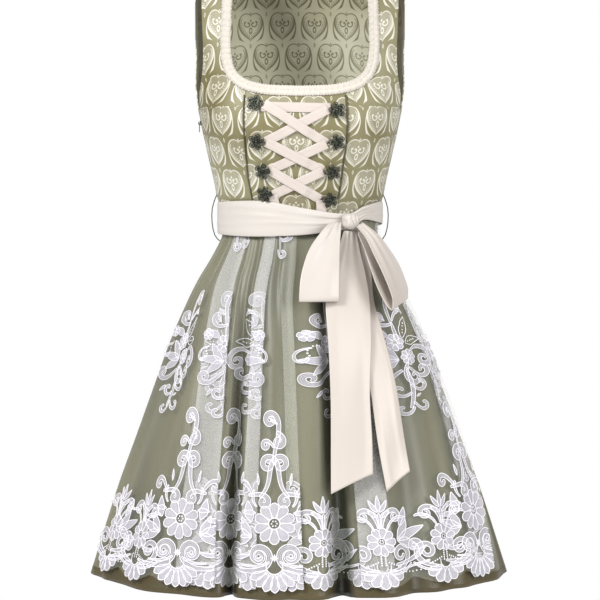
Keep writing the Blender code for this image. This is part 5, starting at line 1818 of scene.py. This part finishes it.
def rosette(name, node_name, across, height, to_middle):
    """A flower of rings and beads in one mesh, flat on the bodice where its solid sits."""
    bpy.ops.object.select_all(action="DESELECT")
    parts = [part_ring(0.0034, RING_WALL, (0, 0, 0.0004)), part_bead(0.0022, (0, 0, 0.0008))]
    first = 180 if to_middle < 0 else 0
    for k in range(LOBE_COUNT):
        at = first + 360 / LOBE_COUNT * k
        parts += [part_ring(0.0037, RING_WALL, (*polar((0, 0), at, LOBE_REACH), 0.0002)),
                  part_ring(0.0019, SMALL_RING_WALL, (*polar((0, 0), at, 0.0080), 0.0004)),
                  part_bead(0.0013, (*polar((0, 0), at, 0.0080), 0.0005)),
                  part_bead(0.0012, (*polar((0, 0), at + 180 / LOBE_COUNT, 0.0062), 0.0003))]
    bpy.ops.mesh.primitive_cone_add(vertices=40, radius1=0.0060, radius2=0.0050, depth=0.0012,
                                    location=(0, 0, -0.0006))
    parts.append(bpy.context.object)
    bpy.ops.mesh.primitive_cylinder_add(vertices=24, radius=0.0046, depth=0.0040,
                                        location=(0, 0, -0.0030))
    parts.append(bpy.context.object)
    bpy.ops.object.select_all(action="DESELECT")
    for made in parts:
        made.select_set(True)
    bpy.context.view_layer.objects.active = parts[0]
    bpy.ops.object.transform_apply(location=True, rotation=True, scale=True)
    bpy.ops.object.join()
    bpy.ops.object.shade_smooth_by_angle(angle=math.radians(50))
    made = bpy.context.object
    made.name = name
    step = 0.003
    here = on_front(across, height, WALL_BODICE)
    right_way = unit(on_front(across + step, height, WALL_BODICE) - here)
    up_way = unit(on_front(across, height + step, WALL_BODICE) - here)
    out = unit(np.cross(right_way, up_way))
    low, high = (Vector(c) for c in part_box(node_name))
    plate = (low + high) / 2 + Vector(out) * PLATE_LIFT
    axes = Matrix((Vector(right_way), Vector(np.cross(out, right_way)), Vector(out)))
    made.data.transform(Matrix.Translation(plate) @ axes.transposed().to_4x4())
    made.data.materials.clear()
    made.data.materials.append(dark_metal)
    return made


rosettes = {}
for side, rows in (("left", HOOKS_LEFT), ("right", HOOKS_RIGHT)):
    for k, row in enumerate(rows, 1):
        node_name = f"hook_{side}_{k}"
        rosettes[node_name] = rosette(f"rosette_{side}_{k}", node_name, row[0], row[1],
                                      1 if side == "left" else -1)
print("rosettes:", len(rosettes), "faces each", len(rosettes["hook_left_1"].data.polygons))

# %% [markdown]
# ## Neckline trim
# A gathered braid 15 mm wide follows the neckline. A row of stitches down its middle pulls
# it in every 8 mm, so it puffs to both sides, and its edges are frilled.

# %% The trim's way round the neck
TRIM_WIDTH = 0.0150
TRIM_PITCH = 0.0080            # from one gathering stitch to the next
FRONT_CORNER = [
    # across, height, where the trim turns at the foot of a strap
    (0.0958, -0.1818), (0.0939, -0.1857), (0.0912, -0.1890), (0.0880, -0.1922),
    (0.0845, -0.1952), (0.0805, -0.1980), (0.0765, -0.2000), (0.0722, -0.2018)]
BACK_CORNER = [
    (0.0980, -0.0430), (0.0966, -0.0468), (0.0945, -0.0503), (0.0917, -0.0533),
    (0.0883, -0.0557), (0.0845, float(back_neck_height(0.0845)) - 0.0005)]


def neck_path(strap_edge, strap_foot, corner, level, across):
    """Stations along a neckline: down a strap, round the corner, then from across inwards."""
    half = []
    height = SHOULDER_SEAM - SEAM
    while height > strap_foot:
        half.append((strap_edge(height), height))
        height -= TRIM_PITCH / 2
    half += corner
    while across > TRIM_PITCH / 4:
        half.append((across, float(level(across))))
        across -= TRIM_PITCH / 2
    return [(-a, h) for a, h in half] + half[::-1]


front_neck_path = neck_path(lambda height: float(between(NECK, height)[0]), -0.178,
                            FRONT_CORNER, neck_height, 0.0680)
back_neck_path = neck_path(lambda height: BACK_STRAP_INNER, -0.040,
                           BACK_CORNER, back_neck_height, 0.0805)
print("stations round the neck:", len(front_neck_path), len(back_neck_path))

# %% Trim
BRAID_WALL = 0.0007
BRAID_SEAT = 0.0006            # the braid's back stands off the cloth by this much more
FRILL = 0.0007                 # how far its edges wander
PUFF = 0.0015                  # how far it puffs out to both sides of the stitches
PUFF_BEAT = 0.0006             # and how much more between two stitches


def trim(name, path, back, columns=18, step=0.0012):
    """A gathered braid along a neckline, its inner edge on the path."""
    path = np.array(path)
    run = run_along(path)
    along = np.linspace(0, run[-1], int(run[-1] / step))
    line = between(np.column_stack([run, path]), along)
    way = unit(np.gradient(line, axis=0))
    blur = np.ones(9) / 9
    way = unit(np.stack([np.convolve(np.pad(w, 4, mode="edge"), blur, "valid")
                         for w in way.T], axis=1))
    t = np.linspace(0, 1, columns)[:, None]
    beat = 2 * np.pi * along[None, :] / TRIM_PITCH
    frill = FRILL * np.sin(beat * 2 + 0.8) * smooth(0.3, 1.0, abs(2 * t - 1))
    offset = TRIM_WIDTH * t + frill * np.sign(t - 0.5)
    across = line[None, :, 0] + way[None, :, 1] * offset
    height = line[None, :, 1] - way[None, :, 0] * offset
    height = np.minimum(height, SHOULDER_SEAM - SEAM)
    roll = abs(np.sin(2 * np.pi * t)) ** 0.75
    puff = roll * (PUFF + PUFF_BEAT * np.cos(beat + np.where(t > 0.5, 0.9, 0.0)))
    stitch = 0.0005 * (0.5 - 0.5 * np.cos(beat)) * np.exp(-((t - 0.5) / 0.10) ** 2)
    waves = 0.0004 * np.sin(beat * 2) * smooth(0.5, 1.0, abs(2 * t - 1))
    lift = WALL_BODICE + SEAM + BRAID_SEAT + puff + stitch + waves
    angle = angle_at(across, height)
    if back:
        angle = 180 - angle
    points = on_body(angle, height, lift, back)
    if not back:
        points = points[::-1]
    return cloth(name, points, BRAID_WALL, braid, share=0.3)


neck_trims = [trim("neck_braid_front", front_neck_path, False),
              trim("neck_braid_back", back_neck_path, True)]
print("braid points:", [len(o.data.vertices) for o in neck_trims])

# %% [markdown]
# ## Small parts that keep their solids
# The piping, the thread belt loops and the zip are already their real shape, so they only
# take their finishes.

# %% Finishes for the solids
KEPT = {"piping_left": piping_satin, "piping_right": piping_satin,
        "belt_loop_left": green_thread, "belt_loop_right": green_thread,
        "side_zip": green_thread, "zip_slider": zip_metal, "zip_pull": zip_metal}
for name, material in KEPT.items():
    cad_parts[name].data.materials.clear()
    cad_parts[name].data.materials.append(material)
print("finished solids:", len(KEPT))

# %% [markdown]
# ## What rides on what
# Every piece rides on the dress, and each soft one stands for its solid.

# %% Riding and replacing
STANDS_FOR = [
    (bodice_middle, "bodice_front_centre", "jacquard"),
    (bodice_sides[0], "bodice_side_front_left", "jacquard"),
    (bodice_sides[1], "bodice_side_front_right", "jacquard"),
    (bodice_back, "bodice_back", "jacquard"),
    (skirt_pieces[0], "skirt_front", "olive_satin"),
    (skirt_pieces[1], "skirt_back", "olive_satin"),
    (apron_net, "apron", "apron_net"),
    (sash_bands[0], "sash_front", "ivory_satin"),
    (sash_bands[1], "sash_side", "ivory_satin"),
    (sash_bands[2], "sash_back", "ivory_satin"),
    (bow[0], "tail_left", "ivory_satin"),
    (bow[1], "tail_right", "ivory_satin"),
    (bow[2], "bow_loop_left", "ivory_satin"),
    (bow[3], "bow_loop_right", "ivory_satin"),
    (bow[4], "knot", "ivory_satin"),
    (neck_trims[0], "neckline_trim_front", "ivory_braid"),
    (neck_trims[1], "neckline_trim_back", "ivory_braid"),
]
STANDS_FOR += [(made, name, "lacing_ribbon") for name, made in laces.items()]
STANDS_FOR += [(made, name, "dark_metal") for name, made in rosettes.items()]
for made, name, slot in STANDS_FOR:
    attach(made, DRESS)
    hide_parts(name)
for made in lace_pieces:
    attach(made, DRESS)
for made in hem_rows:
    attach(made, DRESS)
print("pieces:", len(STANDS_FOR) + len(lace_pieces) + len(hem_rows))

# %% [markdown]
# ## What each cloth was cut from
# A maker needs the flat size of every piece. Gathered ones are cut wider than they look;
# fitted ones aren't rectangles, so their area is given too.

# %% Flat sizes
RIBBON_WIDTH = 0.057
SHEETS = [
    # piece, cut width, cut length, flat area if it isn't a rectangle, how it is held, on what
    (bodice_middle, 0.175, 0.212, 0.0300, "hung", ("bodice_side_left", "bodice_side_right")),
    (bodice_sides[0], 0.165, 0.440, 0.0350, "hung", ("bodice_back_panel",)),
    (bodice_sides[1], 0.165, 0.440, 0.0380, "hung", ("bodice_back_panel",)),
    (bodice_back, 0.560, 0.450, 0.1580, "hung", ()),
    (skirt_pieces[0], 0.920, 0.560, None, "gathered", ("bodice_front_middle",)),
    (skirt_pieces[1], 0.850, 0.560, None, "gathered", ("bodice_back_panel",)),
    (apron_net, 1.270, 0.545, None, "gathered", ("skirt_front_panel",)),
    (sash_bands[0], RIBBON_WIDTH, 0.252, None, "stretched", ("bodice_front_middle",)),
    (sash_bands[1], RIBBON_WIDTH, 0.108, 0.0040, "stretched", ("bodice_side_right",)),
    (sash_bands[2], RIBBON_WIDTH, 0.344, None, "stretched", ("bodice_back_panel",)),
    (bow[0], RIBBON_WIDTH, 0.390, None, "hung", ("bow_knot",)),
    (bow[1], RIBBON_WIDTH, 0.390, None, "hung", ("bow_knot",)),
    (bow[2], RIBBON_WIDTH, 0.250, None, "folded", ("bow_knot",)),
    (bow[3], RIBBON_WIDTH, 0.260, None, "folded", ("bow_knot",)),
    (neck_trims[0], TRIM_WIDTH, 0.850, None, "gathered", ("bodice_front_middle",)),
    (neck_trims[1], TRIM_WIDTH, 0.600, None, "gathered", ("bodice_back_panel",)),
]
for made in laces.values():
    SHEETS.append((made, LACE_WIDTH, round(math.hypot(made.dimensions[0], made.dimensions[2]), 3),
                   None, "stretched", ("bodice_front_middle",)))
ON_A_SHEET = {apron_net.name: lace_pieces, sash_bands[0].name: [bow[4]],
              skirt_pieces[0].name: hem_rows[:1], skirt_pieces[1].name: hem_rows[1:]}
for made, width, length, flat_area, held, below in SHEETS:
    list(below)
    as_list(ON_A_SHEET.get(made.name, []))
print("sheets:", len(SHEETS))
